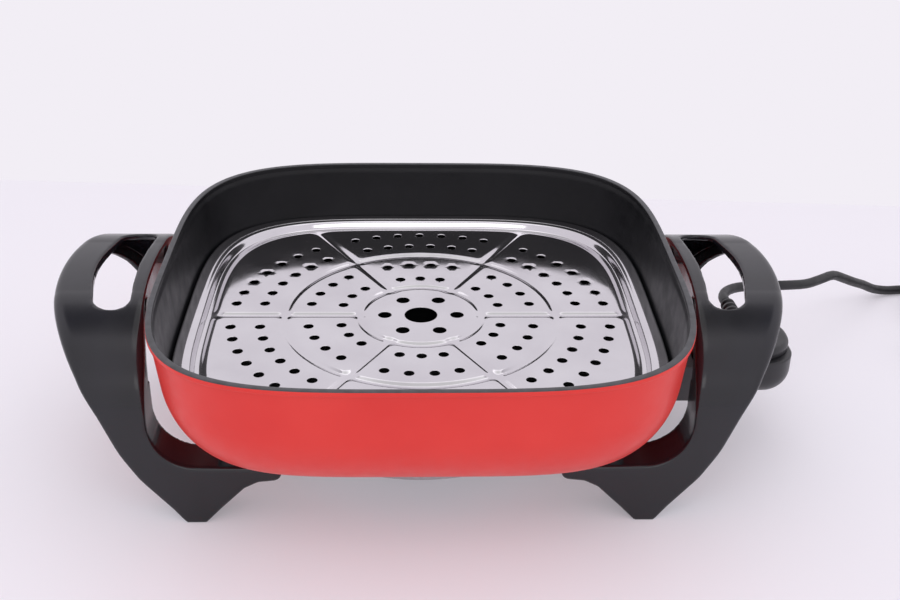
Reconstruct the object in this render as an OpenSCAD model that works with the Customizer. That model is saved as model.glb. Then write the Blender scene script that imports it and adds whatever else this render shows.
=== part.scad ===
// Electric skillet: a square, non-stick cooking pan on two handle-and-leg mouldings, with a
// perforated steam tray and a plug-in temperature controller on its cord.
// Origin: on the surface it stands on, under the middle of the whole appliance with its
// controller plugged in. +Z up, -Y front, +X towards the controller.

/* [Pan] */
// Width and length of the pan over its rim
pan_w = 309; // [300:1:316]
// Depth of the pan from rim to underside
pan_depth = 83; // [78:1:88]
// Height of the pan's underside above the surface
pan_lift = 43; // [41:1:48]
// Thickness of the pan's walls
pan_wall = 2.8; // [2.4:0.1:3.4]
// Thickness of the pan's base
pan_base = 3.2; // [2.6:0.1:4.5]
// Width of the machined rim
rim_w = 3.6; // [3.4:0.1:4.4]
// Slope of the upper wall from upright, in degrees
wall_taper = 6; // [4:0.5:7]
// Squareness of the pan in plan at its rim (2 is a circle)
rim_square = 3.9; // [3.6:0.1:4.4]

/* [Heater] */
// Diameter of the cast heater plate
heater_d = 196; // [180:1:200]
// Thickness of the heater plate's ring
heater_h = 12; // [11:0.5:14]
// Diameter of the ring that the heating tube follows
element_d = 164; // [140:1:168]
// Diameter of the heating tube
tube_d = 8; // [6.5:0.5:8.5]

/* [Steam tray] */
// Depth of the tray's perforated floor below the pan's rim
tray_drop = 40; // [36:0.5:44]
// Thickness of the tray's sheet
tray_t = 0.8; // [0.6:0.1:1]
// Depth of the pressed channels
channel_depth = 1.5; // [1:0.1:2]
// Width of the pressed channels
channel_w = 7.6; // [6:0.2:9]
// Diameter of the small holes
hole_d = 5.8; // [4.5:0.1:6.4]
// Diameter of the six holes round the middle
ring_hole_d = 8; // [6:0.2:9]
// Diameter of the middle hole
middle_hole_d = 20; // [16:0.5:24]

/* [Handles and legs] */
// Wall thickness of the mouldings
handle_wall = 3.6; // [3:0.1:4.2]
// Height of the pan's rim above the grips
grip_drop = 5; // [3:0.5:8]
// Length of the level part of the grip's top
grip_flat = 66; // [60:1:72]
// Radius of the shoulders between the grip and the legs
shoulder_r = 60; // [56:1:62]
// Width of each grip, measured away from the pan
grip_w = 56.5; // [54:0.5:60]
// Length of the finger openings
finger_l = 101; // [90:1:104]
// Width of the finger openings
finger_w = 24.6; // [20:0.2:26]
// Depth of a leg's side walls
leg_depth = 28; // [24:1:30]

/* [Controller] */
// Width of the controller's body
controller_w = 56; // [54:1:60]
// Length of the controller's body outside the socket
controller_l = 62.5; // [61:0.5:68]
// Gap between the temperature dial and the grip above it
dial_gap = 24.7; // [22:0.1:27]
// Diameter of the temperature dial
dial_d = 36; // [32:1:38]
// Height of the temperature dial
dial_h = 7; // [6:0.5:9]
// Diameter of the terminal pins
pin_d = 6; // [5:0.1:6.5]
// Distance between the terminal pins
pin_gap = 30; // [28:1:32]
// Diameter of the heat-sensing probe
probe_d = 7; // [6:0.1:8]

/* [Cord] */
// Diameter of the cord
cord_d = 7; // [6:0.1:7.5]
// Length of the strain relief
relief_l = 38; // [30:1:42]

/* [Hidden] */
$fn = 64;

// Clearances and small shared sizes
EPS = 0.01;
middle_x = 9.25;       // the appliance's middle lies this far from the pan's, on the controller side
fit = 0.06;            // radial clearance of a turning or sliding fit
slide_gap = 0.8;       // clearance of the controller's nose in the shroud
seat_gap = 0.3;        // clearance between pieces that only rest together
screw_d = 3.9;         // machine screws of the legs, handles and shroud
screw_head_d = 7.6;
screw_head_h = 2.4;
SEGMENTS = 72;         // sides of a lofted ring

// ---- General shapes ----------------------------------------------------------------------

function unit(v) = v / norm(v);
function left_of(v) = [-v.y, v.x];
function turned(v, a) = [v.x * cos(a) - v.y * sin(a), v.x * sin(a) + v.y * cos(a)];
function lerp(a, b, t) = a + (b - a) * t;
function reversed(list) = [for (i = [len(list) - 1:-1:0]) list[i]];

// Corner b of the path a-b-c, moved to the left by w
function moved_corner(a, b, c, w) =
    let (n1 = left_of(unit(b - a)), n2 = left_of(unit(c - b)))
    b + w * (n1 + n2) / (1 + n1 * n2);

// Points of the corner a-b-c rounded to radius r
function round_corner(a, b, c, r, steps = 6) =
    let (u = unit(b - a), v = unit(c - b),
         side = cross(u, v) > 0 ? 1 : -1,
         turn = acos(min(1, u * v)),
         reach = min(r * tan(turn / 2), norm(b - a) / 2.05, norm(c - b) / 2.05),
         radius = reach / tan(turn / 2),
         start = b - u * reach,
         centre = start + side * radius * left_of(u))
    r < 0.2 || turn < 1 ? [b]
        : [for (i = [0:steps]) centre + turned(start - centre, side * turn * i / steps)];

// Closed outline through corners [x, y, radius], listed anticlockwise and moved inward by w
function outline(corners, w = 0) =
    let (n = len(corners),
         p = [for (c = corners) [c.x, c.y]],
         q = [for (i = [0:n - 1]) moved_corner(p[(i + n - 1) % n], p[i], p[(i + 1) % n], w)])
    [for (i = [0:n - 1])
        let (a = q[(i + n - 1) % n], b = q[i], c = q[(i + 1) % n],
             bend = cross(b - a, c - b) > 0 ? 1 : -1)
        each round_corner(a, b, c, max(corners[i].z - bend * w, 0))];

// Rounded square in plan: half width h, squareness n
function squircle(h, n, count = SEGMENTS) =
    [for (i = [0:count - 1])
        let (a = 360 * i / count, c = abs(cos(a)), s = abs(sin(a)))
        h * pow(pow(c, n) + pow(s, n), -1 / n) * [cos(a), sin(a)]];

// Rings [half width, z, squareness] joined into one solid, anticlockwise in section. An open
// stack of rings is capped at both ends; a closed one runs back to its first ring.
module loft(rings, closed = false) {
    count = len(rings);
    last = closed ? count - 1 : count - 2;
    points = [for (r = rings) each [for (p = squircle(r[0], r[2])) [p.x, p.y, r[1]]]];
    sides = [for (k = [0:last], i = [0:SEGMENTS - 1])
        let (j = (i + 1) % SEGMENTS, a = k * SEGMENTS, b = ((k + 1) % count) * SEGMENTS)
        [a + i, b + i, b + j, a + j]];
    caps = closed ? [] : [
        [for (i = [0:SEGMENTS - 1]) i],
        [for (i = [SEGMENTS - 1:-1:0]) (count - 1) * SEGMENTS + i]
    ];
    polyhedron(points, concat(sides, caps));
}

module mirrored(axis) {
    children();
    mirror(axis) children();
}

module at_four_corners() {
    mirrored([1, 0, 0]) mirrored([0, 1, 0]) children();
}

// Cylinder along +X from x0 to x1
module rod_x(x0, x1, d) {
    translate([x0, 0, 0]) rotate([0, 90, 0]) cylinder(h = x1 - x0, d = d);
}

// Screw with a round head, head up, its seat at z = 0
module screw(length, d = screw_d, head_d = screw_head_d, head_h = screw_head_h) {
    translate([0, 0, -length]) cylinder(h = length + EPS, d = d);
    difference() {
        cylinder(h = head_h, d1 = head_d, d2 = head_d * 0.72);
        for (a = [0, 90]) {
            rotate(a) translate([-head_d / 4, -0.5, head_h / 2]) cube([head_d / 2, 1, head_h]);
        }
    }
}

// ---- Pan ---------------------------------------------------------------------------------

pan_half = pan_w / 2;
rim_z = pan_lift + pan_depth;
base_square = rim_square + 1.3;
lip_step = 1.1;                    // the wall starts this far inside the lip
corner_run = 60;                   // half axes of the curve between the wall and the base
corner_rise = pan_depth - 26;
curve_start = atan(tan(wall_taper) * corner_rise / corner_run);
curve_top = pan_depth - corner_rise + corner_rise * sin(curve_start);
curve_x = curve_top * tan(wall_taper) + corner_run * cos(curve_start);

// How far the outer wall stands in from the lip at depth d below the rim
function wall_inset(d) = d < curve_top ? d * tan(wall_taper)
    : curve_x - corner_run * sqrt(max(0, 1 - pow((d - pan_depth + corner_rise) / corner_rise, 2)));
function wall_half(d) = pan_half - lip_step - wall_inset(d);
function wall_square(d) = lerp(rim_square, base_square, pow(d / pan_depth, 4));
function inside_half(d) = wall_half(d * pan_depth / (pan_depth - pan_base)) - pan_wall;
// Half width of the outer wall at height z
function pan_half_at(z) = wall_half(rim_z - z);

// Depths at which the wall's rings lie, closer together round the bottom curve
function ring_depths(floor_depth) =
    concat([5, curve_top], [for (a = [20:10:90]) floor_depth - corner_rise * (1 - sin(a))]);

// Sizes of the handle mouldings that the pan's lugs and posts go by
handle_top = rim_z - grip_drop;    // height of the grips
strip_x = pan_half + 7;            // inner edge of the grip, beside the pan
grip_edge = strip_x + grip_w;
splay = 3.3;                       // lean of the legs' faces, in degrees
bridge_half = grip_flat / 2 + shoulder_r * cos(splay) + 4 - leg_depth;

// Places of the lugs under the pan and of the posts on its sides
leg_boss = [pan_half - 44.5, bridge_half + 11];
leg_boss_d = 15;
tab_top = pan_lift - 6;
grip_boss_y = grip_flat / 2 + 3;
grip_boss_z = handle_top - 11;
grip_boss_d = 12;
grip_boss_x = strip_x - 2.5;
grip_screw_grip = 3.5;             // length of a handle screw inside its post

// Rings of the outer surface from the underside up to the rim, then of the inner one down
function outside_rings(grow = 0) = [
    for (d = reversed(ring_depths(pan_depth)))
        [wall_half(d) + grow, rim_z - d - grow, wall_square(d)],
    [pan_half + grow, rim_z - 3, rim_square], [pan_half + grow, rim_z - 0.8, rim_square],
    [pan_half - 0.6 + grow, rim_z, rim_square]
];
function inside_rings() = [
    [pan_half - rim_w, rim_z, rim_square], [pan_half - rim_w, rim_z - 3, rim_square],
    for (d = ring_depths(pan_depth - pan_base)) [inside_half(d), rim_z - d, wall_square(d)]
];

module pan() {
    color("#c9362f") loft(concat(outside_rings(), inside_rings()));
}

// Lugs under the pan that the legs are screwed to
module leg_lugs() {
    color("#9d9d9f") difference() {
        at_four_corners() translate([leg_boss.x, leg_boss.y, tab_top])
            cylinder(h = corner_rise / 2, d1 = leg_boss_d, d2 = leg_boss_d + 8);
        loft(outside_rings());
        at_four_corners() translate([leg_boss.x, leg_boss.y, tab_top - EPS])
            cylinder(h = 9, d = screw_d + 2 * fit);
    }
}

// Posts on the pan's sides that the grips are screwed to
module grip_posts() {
    color("#9d9d9f") difference() {
        at_four_corners() translate([0, grip_boss_y, grip_boss_z])
            rod_x(pan_half_at(grip_boss_z) - 2, grip_boss_x, grip_boss_d);
        loft(outside_rings());
        at_four_corners() translate([0, grip_boss_y, grip_boss_z])
            rod_x(grip_boss_x - grip_screw_grip - 0.5, grip_boss_x + 1, screw_d + 2 * fit);
    }
}

// ---- Heater ------------------------------------------------------------------------------

heater_z = pan_lift - heater_h;
element_r = element_d / 2;
element_z = heater_z + heater_h / 2 - 0.5;
heater_gap = 0.8;                  // between the terminal boss and the pan's bottom curve
pin_z = pan_lift + 9;              // height of the pins and the probe
pin_y = pin_gap / 2;
shroud_t = 1.6;
shroud_half_w = controller_w / 2;
shroud_half_h = 12;
shroud_x = pan_half_at(pin_z + shroud_half_h) + heater_gap;
shroud_l = 31;
shroud_end = shroud_x + shroud_l;
insulator_d = 11;
strap_x = pan_half_at(pin_z + 7) + 1;    // upright straps join the cold ends to the pins
strap_t = 3;
strap_w = 8;
cold_end_d = tube_d + 0.8;
pin_tip = shroud_end - 5;          // the pins stop short of the shroud's mouth
boss_half_w = shroud_half_w - 1;
boss_top = pin_z + 8;
probe_tip = pan_half_at(pin_z + probe_d / 2) + 2;

// The heating tube: an open ring in the plate, and two thicker cold ends that run outward
module element_route(clear = 0) {
    gap_angle = asin(pin_y / element_r);
    translate([0, 0, element_z]) {
        rotate(gap_angle) rotate_extrude(angle = 360 - 2 * gap_angle, $fn = 96)
            translate([element_r, 0]) circle(d = tube_d + 2 * clear);
        mirrored([0, 1, 0]) translate([0, pin_y, 0])
            rod_x(element_r - 8, strap_x, cold_end_d + 2 * clear);
    }
}

module heater_casting() {
    plate_r = heater_d / 2;
    rib_in = element_r - 13;
    color("#b9babd") difference() {
        union() {
            rotate_extrude($fn = 128) polygon([
                [0, pan_lift], [0, heater_z + 6], [rib_in - 3, heater_z + 6], [rib_in, heater_z],
                [plate_r - 1, heater_z], [plate_r, heater_z + 1], [plate_r, pan_lift - 1],
                [plate_r - 1, pan_lift]
            ]);
            for (a = [30:60:330]) {
                rotate(a) translate([0, -2, heater_z + 3]) cube([rib_in, 4, 5]);
            }
            // Boss that carries the terminals and the probe, under the pan's bottom curve
            difference() {
                translate([plate_r - 14, -boss_half_w, heater_z])
                    cube([shroud_x - plate_r + 14, 2 * boss_half_w, boss_top - heater_z]);
                loft(outside_rings(heater_gap));
            }
        }
        element_route(fit);
        translate([0, 0, pin_z]) {
            rod_x(probe_tip - 1, shroud_x + 1, probe_d + 2 * seat_gap);
            mirrored([0, 1, 0]) translate([0, pin_y, 0])
                rod_x(strap_x + strap_t, shroud_x + 1, insulator_d + 2 * fit);
        }
        mirrored([0, 1, 0]) strap(seat_gap);
        mirrored([0, 1, 0]) translate([0, shroud_screw_y, shroud_screw_z])
            rod_x(shroud_x - 9, shroud_x + 1, shroud_screw_d + 2 * fit);
    }
}
shroud_screw_d = 3;
shroud_screw_y = boss_half_w - 4.5;
shroud_screw_z = pin_z - 6.5;

module heating_tube() {
    color("#77726c") element_route();
}

// Upright strap between a cold end and its pin
module strap(clear = 0) {
    low = element_z - strap_w / 2 - clear;
    translate([strap_x - clear, pin_y - strap_w / 2 - clear, low])
        cube([strap_t + 2 * clear, strap_w + 2 * clear, pin_z + strap_w / 2 + clear - low]);
}

module terminal_pins() {
    color("#c8c9cc") mirrored([0, 1, 0]) {
        strap();
        translate([0, pin_y, pin_z]) rod_x(strap_x + 1, pin_tip - 1.5 + EPS, pin_d);
        translate([pin_tip - 1.5, pin_y, pin_z]) rotate([0, 90, 0])
            cylinder(h = 1.5, d1 = pin_d, d2 = pin_d - 2);
    }
}

module pin_insulators() {
    color("#e8e4da") mirrored([0, 1, 0]) translate([0, pin_y, pin_z]) difference() {
        union() {
            rod_x(strap_x + strap_t, shroud_x + shroud_t + 3, insulator_d);
            rod_x(shroud_x, shroud_x + shroud_t + 6, insulator_d - 3);
        }
        rod_x(strap_x, shroud_x + 12, pin_d + 2 * fit);
    }
}

module socket_shroud() {
    outer = [2 * shroud_half_w, 2 * shroud_half_h];
    color("#4a4a4d") difference() {
        translate([shroud_x, -outer.x / 2, pin_z - outer.y / 2]) cube([shroud_l, outer.x, outer.y]);
        translate([shroud_x + shroud_t, -outer.x / 2 + shroud_t, pin_z - outer.y / 2 + shroud_t])
            cube([shroud_l, outer.x - 2 * shroud_t, outer.y - 2 * shroud_t]);
        translate([0, 0, pin_z]) {
            rod_x(shroud_x - 1, shroud_x + 5, probe_d + 2);
            mirrored([0, 1, 0]) translate([0, pin_y, 0])
                rod_x(shroud_x - 1, shroud_x + 5, insulator_d + 2 * fit);
        }
        mirrored([0, 1, 0]) translate([0, shroud_screw_y, shroud_screw_z])
            rod_x(shroud_x - 1, shroud_x + 5, shroud_screw_d + 2 * fit);
    }
}

module shroud_screws() {
    color("#b0b0b2") mirrored([0, 1, 0])
        translate([shroud_x + shroud_t, shroud_screw_y, shroud_screw_z]) rotate([0, 90, 0])
            screw(8, shroud_screw_d, 5.6, 1.8);
}

// ---- Handles and legs --------------------------------------------------------------------
// Each side is one moulding: a bridge-shaped shell that is the grip on top and a leg at each
// end. It is where three prisms meet: its outline from the front, from the side and from above.

foot_x = [pan_half - 29.5, pan_half - 18];    // the foot touches the surface between these
tab_x = leg_boss.x - 29.5;         // end of the tab under the pan
foot_fill = 7;                     // solid height of a foot
collar_t = 2.2;                    // wall round the finger opening
collar_h = 11;
moulding_reach = 110;              // more than half the moulding's length

// Outline from the front: foot, outer edge, top (cut by the arch), inner edge, tab
front_corners = [
    [foot_x[0], 0, 0], [foot_x[1], 0, 0], [pan_half + 7, 0.235 * handle_top, 40],
    [pan_half + 17.5, 0.376 * handle_top, 60], [pan_half + 27.5, 0.579 * handle_top, 60],
    [grip_edge - 24, 0.744 * handle_top, 30], [grip_edge + 12, handle_top + 9, 0],
    [strip_x - 6, handle_top + 9, 0], [pan_half, tab_top, 27], [tab_x, tab_top, 3],
    [tab_x, tab_top - 9, 5], [tab_x + 13.5, tab_top - 10.5, 4], [tab_x + 21.5, tab_top - 14.5, 3]
];

// Arch from the side, moved inward by w: level top, round shoulders, splayed legs
function arch(w, drop = 0) =
    let (r = shoulder_r - w, flat = grip_flat / 2, zc = handle_top - shoulder_r,
         half = [for (a = [90:-6:splay]) [flat + r * cos(a), zc + r * sin(a)]],
         low = flat + r * cos(splay) + (zc + r * sin(splay) + drop) * tan(splay),
         right = concat(half, [[low, -drop]]))
    concat(right, [for (i = [len(right) - 1:-1:0]) [-right[i].x, right[i].y]]);

// Inner side of the bridge, where its side walls end
bridge_r = 27;
bridge_top = handle_top - 16;
function bridge_opening() =
    let (cy = bridge_half - bridge_r, cz = bridge_top - bridge_r,
         half = [for (a = [90:-9:0]) [cy + bridge_r * cos(a), cz + bridge_r * sin(a)]])
    concat(half, [[bridge_half, -1]], [[-bridge_half, -1]],
        [for (i = [len(half) - 1:-1:0]) [-half[i].x, half[i].y]]);

// Outline from above: both long edges are bowed outward
outer_bow_r = 160;
inner_bow_r = 400;
function bow(x, r, y) = x - r + sqrt(r * r - y * y);
function plan_outline(w) =
    let (ys = [for (y = [-moulding_reach:10:moulding_reach]) y])
    concat([for (y = ys) [bow(grip_edge - w, outer_bow_r - w, y), y]],
        [for (i = [len(ys) - 1:-1:0]) [bow(strip_x + w, inner_bow_r + w, ys[i]), ys[i]]]);

module front_prism(w) {
    rotate([90, 0, 0]) linear_extrude(2 * moulding_reach, center = true)
        polygon(outline(front_corners, w));
}

module side_prism(points) {
    rotate([90, 0, 90]) linear_extrude(grip_edge + 20) polygon(points);
}

// Seen from above, the legs run in under the pan, so only the outer bow trims them
module plan_prism(w) {
    linear_extrude(handle_top + 20) polygon(plan_outline(w));
    translate([tab_x - 20, -moulding_reach, 0])
        cube([strip_x - tab_x + 40, 2 * moulding_reach, handle_top - 40]);
}

// Finger opening, both its long edges bowed outward
module finger_opening(grow = 0, depth = 40) {
    x_in = strip_x + 9;
    x_out = x_in + finger_w;
    corners = [
        [x_in - 4, -finger_l / 2, 11], [x_out - 8, -finger_l / 2, 13], [x_out + 2.2, 0, 115],
        [x_out - 8, finger_l / 2, 13], [x_in - 4, finger_l / 2, 11], [x_in + 1, 0, 280]
    ];
    translate([0, 0, handle_top - depth]) linear_extrude(depth + 10)
        polygon(outline(corners, -grow));
}

module handle_moulding() {
    difference() {
        union() {
            difference() {
                intersection() {
                    front_prism(0);
                    plan_prism(0);
                    difference() {
                        side_prism(arch(0));
                        side_prism(bridge_opening());
                    }
                }
                // Hollow behind the shell, open towards the middle of the bridge, with a
                // collar left standing round the finger opening
                difference() {
                    intersection() {
                        front_prism(handle_wall);
                        plan_prism(handle_wall);
                        side_prism(arch(handle_wall, 1));
                        translate([leg_boss.x - 12, -moulding_reach, foot_fill])
                            cube([grip_edge, 2 * moulding_reach, handle_top]);
                    }
                    finger_opening(collar_t, collar_h);
                }
            }
            // Pads that meet the pan's side bosses
            mirrored([0, 1, 0]) translate([0, grip_boss_y, grip_boss_z])
                rod_x(grip_boss_x, strip_x + handle_wall - 1, grip_boss_d);
        }
        finger_opening();
        mirrored([0, 1, 0]) {
            translate([0, grip_boss_y, grip_boss_z]) {
                rod_x(grip_boss_x - 1, strip_x + 12, screw_d + 2 * fit);
                rod_x(grip_screw_seat, grip_screw_seat + 12, screw_head_d + 1);
            }
            translate([leg_boss.x, leg_boss.y, 0]) {
                cylinder(h = pan_lift, d = screw_d + 2 * fit);
                cylinder(h = tab_top - handle_wall, d = screw_head_d + 1.4);
            }
        }
    }
}
grip_screw_seat = strip_x + handle_wall - 1;

module right_handle_leg() {
    color("#2b2b2e") handle_moulding();
}

module left_handle_leg() {
    color("#2b2b2e") mirror([1, 0, 0]) handle_moulding();
}

module leg_screws() {
    color("#b0b0b2") at_four_corners()
        translate([leg_boss.x, leg_boss.y, tab_top - handle_wall]) rotate([180, 0, 0]) screw(11);
}

module handle_screws() {
    color("#b0b0b2") at_four_corners()
        translate([grip_screw_seat, grip_boss_y, grip_boss_z]) rotate([0, 90, 0])
            screw(grip_screw_seat - grip_boss_x + grip_screw_grip);
}

// ---- Steam tray --------------------------------------------------------------------------

tray_z = rim_z - tray_drop;
tray_square = wall_square(tray_drop);
hem_half = inside_half(tray_drop + 2) - seat_gap;
plateau_half = hem_half - 20;
// Rings of small holes: [radius, holes in each sector, angle between them]
hole_rings = [[50.3, 3, 14.9], [70.1, 4, 12], [99.1, 6, 8.5], [116.8, 7, 7.5]];
ring_hole_r = 22.4;
channel_rings = [37.6, 84];
radial_start = 43;

// Section of the tray's border from the channel out to the hem: [half width, height]
border = [
    [plateau_half + 2.6, -channel_depth], [plateau_half + 4, -channel_depth],
    [plateau_half + 6.4, 1.8], [plateau_half + 9.8, 2], [plateau_half + 11, 3.4],
    [hem_half - 1.4, 3.8], [hem_half, -1]
];

// The section with the sheet's thickness, as a closed outline
function sheet_section(path, t) =
    let (n = len(path),
         under = [for (i = [0:n - 1])
             i == 0 ? path[0] + [0, -t]
                 : i == n - 1 ? path[i] - t * left_of(unit(path[i] - path[i - 1]))
                 : moved_corner(path[i - 1], path[i], path[i + 1], -t)])
    concat(under, reversed(path));

module channels(grow = 0) {
    for (r = channel_rings) {
        difference() {
            circle(r = r + channel_w / 2 + grow, $fn = 96);
            circle(r = r - channel_w / 2 - grow, $fn = 96);
        }
    }
    intersection() {
        for (a = [0:60:300]) {
            rotate(a) translate([radial_start - 8, -channel_w / 2 - grow])
                square([plateau_half * 1.3, channel_w + 2 * grow]);
        }
        polygon(squircle(plateau_half + 1, tray_square));
    }
    difference() {
        polygon(squircle(plateau_half + 3.4, tray_square));
        polygon(squircle(plateau_half - grow, tray_square));
    }
}

module tray_holes() {
    circle(d = middle_hole_d);
    for (a = [0:60:300]) {
        rotate(a) translate([ring_hole_r, 0]) circle(d = ring_hole_d, $fn = 32);
        for (ring = hole_rings, k = [0:ring[1] - 1]) {
            rotate(a + 30 + (k - (ring[1] - 1) / 2) * ring[2])
                translate([ring[0], 0]) circle(d = hole_d, $fn = 24);
        }
    }
}

module steam_tray() {
    color("#c9cacc") translate([0, 0, tray_z]) {
        // Raised sectors with their holes
        translate([0, 0, -tray_t]) linear_extrude(tray_t) difference() {
            polygon(squircle(plateau_half, tray_square));
            channels();
            tray_holes();
        }
        // Walls and floor of the channels
        translate([0, 0, -channel_depth - tray_t]) {
            linear_extrude(channel_depth) difference() {
                channels(tray_t);
                channels();
            }
            linear_extrude(tray_t) channels();
        }
        section = sheet_section(border, tray_t);
        loft([for (p = section) [p.x, p.y, tray_square]], closed = true);
    }
}

// ---- Controller --------------------------------------------------------------------------

cover_t = 2.4;
nose_half_w = shroud_half_w - shroud_t - slide_gap;
nose_half_h = shroud_half_h - shroud_t - slide_gap;
nose_x = shroud_end - 18;
body_x = shroud_end + slide_gap;
body_end = body_x + controller_l;
body_half = controller_w / 2;
body_bottom = pin_z - 11.5;
body_top = bridge_top - dial_gap - dial_h - seat_gap;
body_h = body_top - body_bottom;
parting_z = body_bottom + 26;
end_r = 18;                        // corner radius at the outer end
bowl_r = 16;                       // radius of the lower cover's underside edges
cover_step = 3;                    // the upper cover's sides stand this far inside the lower's
upper_r = 24;                      // corner radius of the upper cover, so its ledge is a crescent
dial_x = grip_edge - dial_d / 2 - 0.5;
shaft_d = 6;
lens_d = 5;
lens_at = [body_x + 12, 12.5 - body_half];
relief_x = body_end - 21.5;
relief_z = pin_z + 6;
relief_hole_d = cord_d + 5;
relief_flange_d = relief_hole_d + 4;
relief_seat = body_half - cover_t - 2;
block_x = [body_x + 11, dial_x + 12];
block_half = body_half - bowl_r;
block_top = parting_z - 4;
post_x = [body_x + 6.5, body_end - 11.5];
post_d = 5.4;
post_y = [pin_y / 2 - 0.4, 8];
post_foot = body_bottom + 6;       // where the cover posts meet the bosses they are screwed to
cover_screw_d = 2.9;
cover_screw_l = 14;
sleeve_d = pin_d + 2.6;

// Plan of the lower cover, moved inward by w
function body_plan(w) = outline([
    [body_x, -body_half, 4], [body_end, -body_half, end_r], [body_end, body_half, end_r],
    [body_x, body_half, 4]
], w);

// Plan of the upper cover, which reaches the lower one's edge only at the outer end
upper_half = body_half - cover_step;
function upper_plan(w) = outline([
    [body_x + 0.5, -upper_half, 4], [body_end - 0.4, -upper_half, upper_r],
    [body_end - 0.4, upper_half, upper_r], [body_x + 0.5, upper_half, 4]
], w);

// Inside or outside of the lower cover: its plan with the underside's edges rounded off
module bowl(w) {
    intersection() {
        translate([0, 0, body_bottom]) linear_extrude(body_h) polygon(body_plan(w));
        rotate([90, 0, 90]) linear_extrude(body_end + 1) polygon(outline([
            [-body_half, body_bottom, bowl_r], [body_half, body_bottom, bowl_r],
            [body_half, body_top, 0], [-body_half, body_top, 0]
        ], w));
        rotate([90, 0, 0]) linear_extrude(3 * body_half, center = true) polygon(outline([
            [body_x - 9, body_bottom, 0], [body_end, body_bottom, bowl_r],
            [body_end, body_top, 0], [body_x - 9, body_top, 0]
        ], w));
    }
}

module at_posts() {
    mirrored([0, 1, 0]) for (i = [0, 1]) {
        translate([post_x[i], post_y[i], 0]) children();
    }
}

module nose_bores() {
    translate([0, 0, pin_z]) {
        rod_x(nose_x - 1, body_x + cover_t + 1, probe_d);
        mirrored([0, 1, 0]) translate([0, pin_y, 0]) rod_x(nose_x - 1, body_x + cover_t + 1, sleeve_d);
    }
}

module controller_lower_cover() {
    color("#2e2e31") difference() {
        intersection() {
            union() {
                difference() {
                    bowl(0);
                    difference() {
                        bowl(cover_t);
                        at_posts() translate([0, 0, body_bottom])
                            cylinder(h = post_foot - body_bottom, d = post_d + 2);
                    }
                }
                // Nose that goes into the shroud, its lower edges rounded as the body's
                intersection() {
                    translate([nose_x, -nose_half_w, pin_z - nose_half_h])
                        cube([body_x + cover_t - nose_x, 2 * nose_half_w, 2 * nose_half_h]);
                    rotate([90, 0, 90]) linear_extrude(body_end) polygon(outline([
                        [-body_half, body_bottom, bowl_r], [body_half, body_bottom, bowl_r],
                        [body_half, body_top, 0], [-body_half, body_top, 0]
                    ]));
                }
            }
            translate([nose_x - 1, -body_half - 1, body_bottom - 1])
                cube([body_end, 2 * body_half + 2, parting_z - body_bottom + 1]);
        }
        nose_bores();
        at_posts() translate([0, 0, body_bottom - 1]) {
            cylinder(h = body_h, d = cover_screw_d + 0.4);
            cylinder(h = 1 + screw_sink, d = 6);
        }
        translate([relief_x, body_half - 5, relief_z]) rotate([-90, 0, 0])
            cylinder(h = 10, d = relief_hole_d + 2 * fit);
        translate([relief_x, relief_seat - fit, relief_z]) rotate([-90, 0, 0])
            cylinder(h = 2 + fit, d = relief_flange_d + 2 * fit);
    }
}
screw_sink = 3;                    // depth of the cover screws' seats below the underside

module controller_upper_cover() {
    color("#2e2e31") difference() {
        union() {
            difference() {
                upper_shell(0);
                upper_shell(cover_t);
            }
            // Posts that the cover screws reach from below
            at_posts() translate([0, 0, post_foot + 0.2])
                cylinder(h = body_top - cover_t - post_foot + 1, d = post_d);
        }
        at_posts() translate([0, 0, body_bottom])
            cylinder(h = cover_screw_l + screw_sink + 2, d = cover_screw_d + 2 * fit);
        translate([dial_x, 0, body_top - 10]) cylinder(h = 20, d = shaft_d + 2 * fit);
        translate([lens_at.x, lens_at.y, body_top - 10]) cylinder(h = 20, d = lens_d);
    }
}

// Upper cover, moved inward by w, with its upper edge bevelled
module upper_shell(w) {
    bevel = 2.5;
    hull() {
        translate([0, 0, parting_z - w]) linear_extrude(body_top - parting_z - bevel)
            polygon(upper_plan(w));
        translate([0, 0, body_top - w - 1]) linear_extrude(1) polygon(upper_plan(w + bevel));
    }
}

module cover_screws() {
    color("#b0b0b2") at_posts() translate([0, 0, body_bottom + screw_sink]) rotate([180, 0, 0])
        screw(cover_screw_l, cover_screw_d, 5.4, 1);
}

module thermostat_block() {
    color("#6a5a48") difference() {
        translate([block_x[0], -block_half, body_bottom + cover_t])
            cube([block_x[1] - block_x[0], 2 * block_half, block_top - body_bottom - cover_t]);
        translate([dial_x, 0, block_top - 8]) cylinder(h = 10, d = shaft_d + 2 * fit);
        translate([0, 0, pin_z]) rod_x(block_x[0] - 1, block_x[0] + 8, probe_d);
    }
}

module contact_sleeves() {
    color("#c79a4b") mirrored([0, 1, 0]) translate([0, pin_y, pin_z]) difference() {
        rod_x(nose_x + 1, block_x[0], sleeve_d);
        rod_x(nose_x, pin_tip + 2, pin_d + 2 * fit);
    }
}

module probe_rod() {
    color("#b6b7ba") translate([0, 0, pin_z]) {
        rod_x(probe_tip + 2, block_x[0] + 8, probe_d);
        translate([probe_tip, 0, 0]) rotate([0, 90, 0]) cylinder(h = 2, d1 = probe_d - 2.5, d2 = probe_d);
    }
}

module indicator_lens() {
    color("#d8692e") translate([lens_at.x, lens_at.y, body_top - cover_t - 2]) {
        cylinder(h = cover_t + 2.6, d = lens_d);
        cylinder(h = 2, d = lens_d + 2.6);
    }
}

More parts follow.
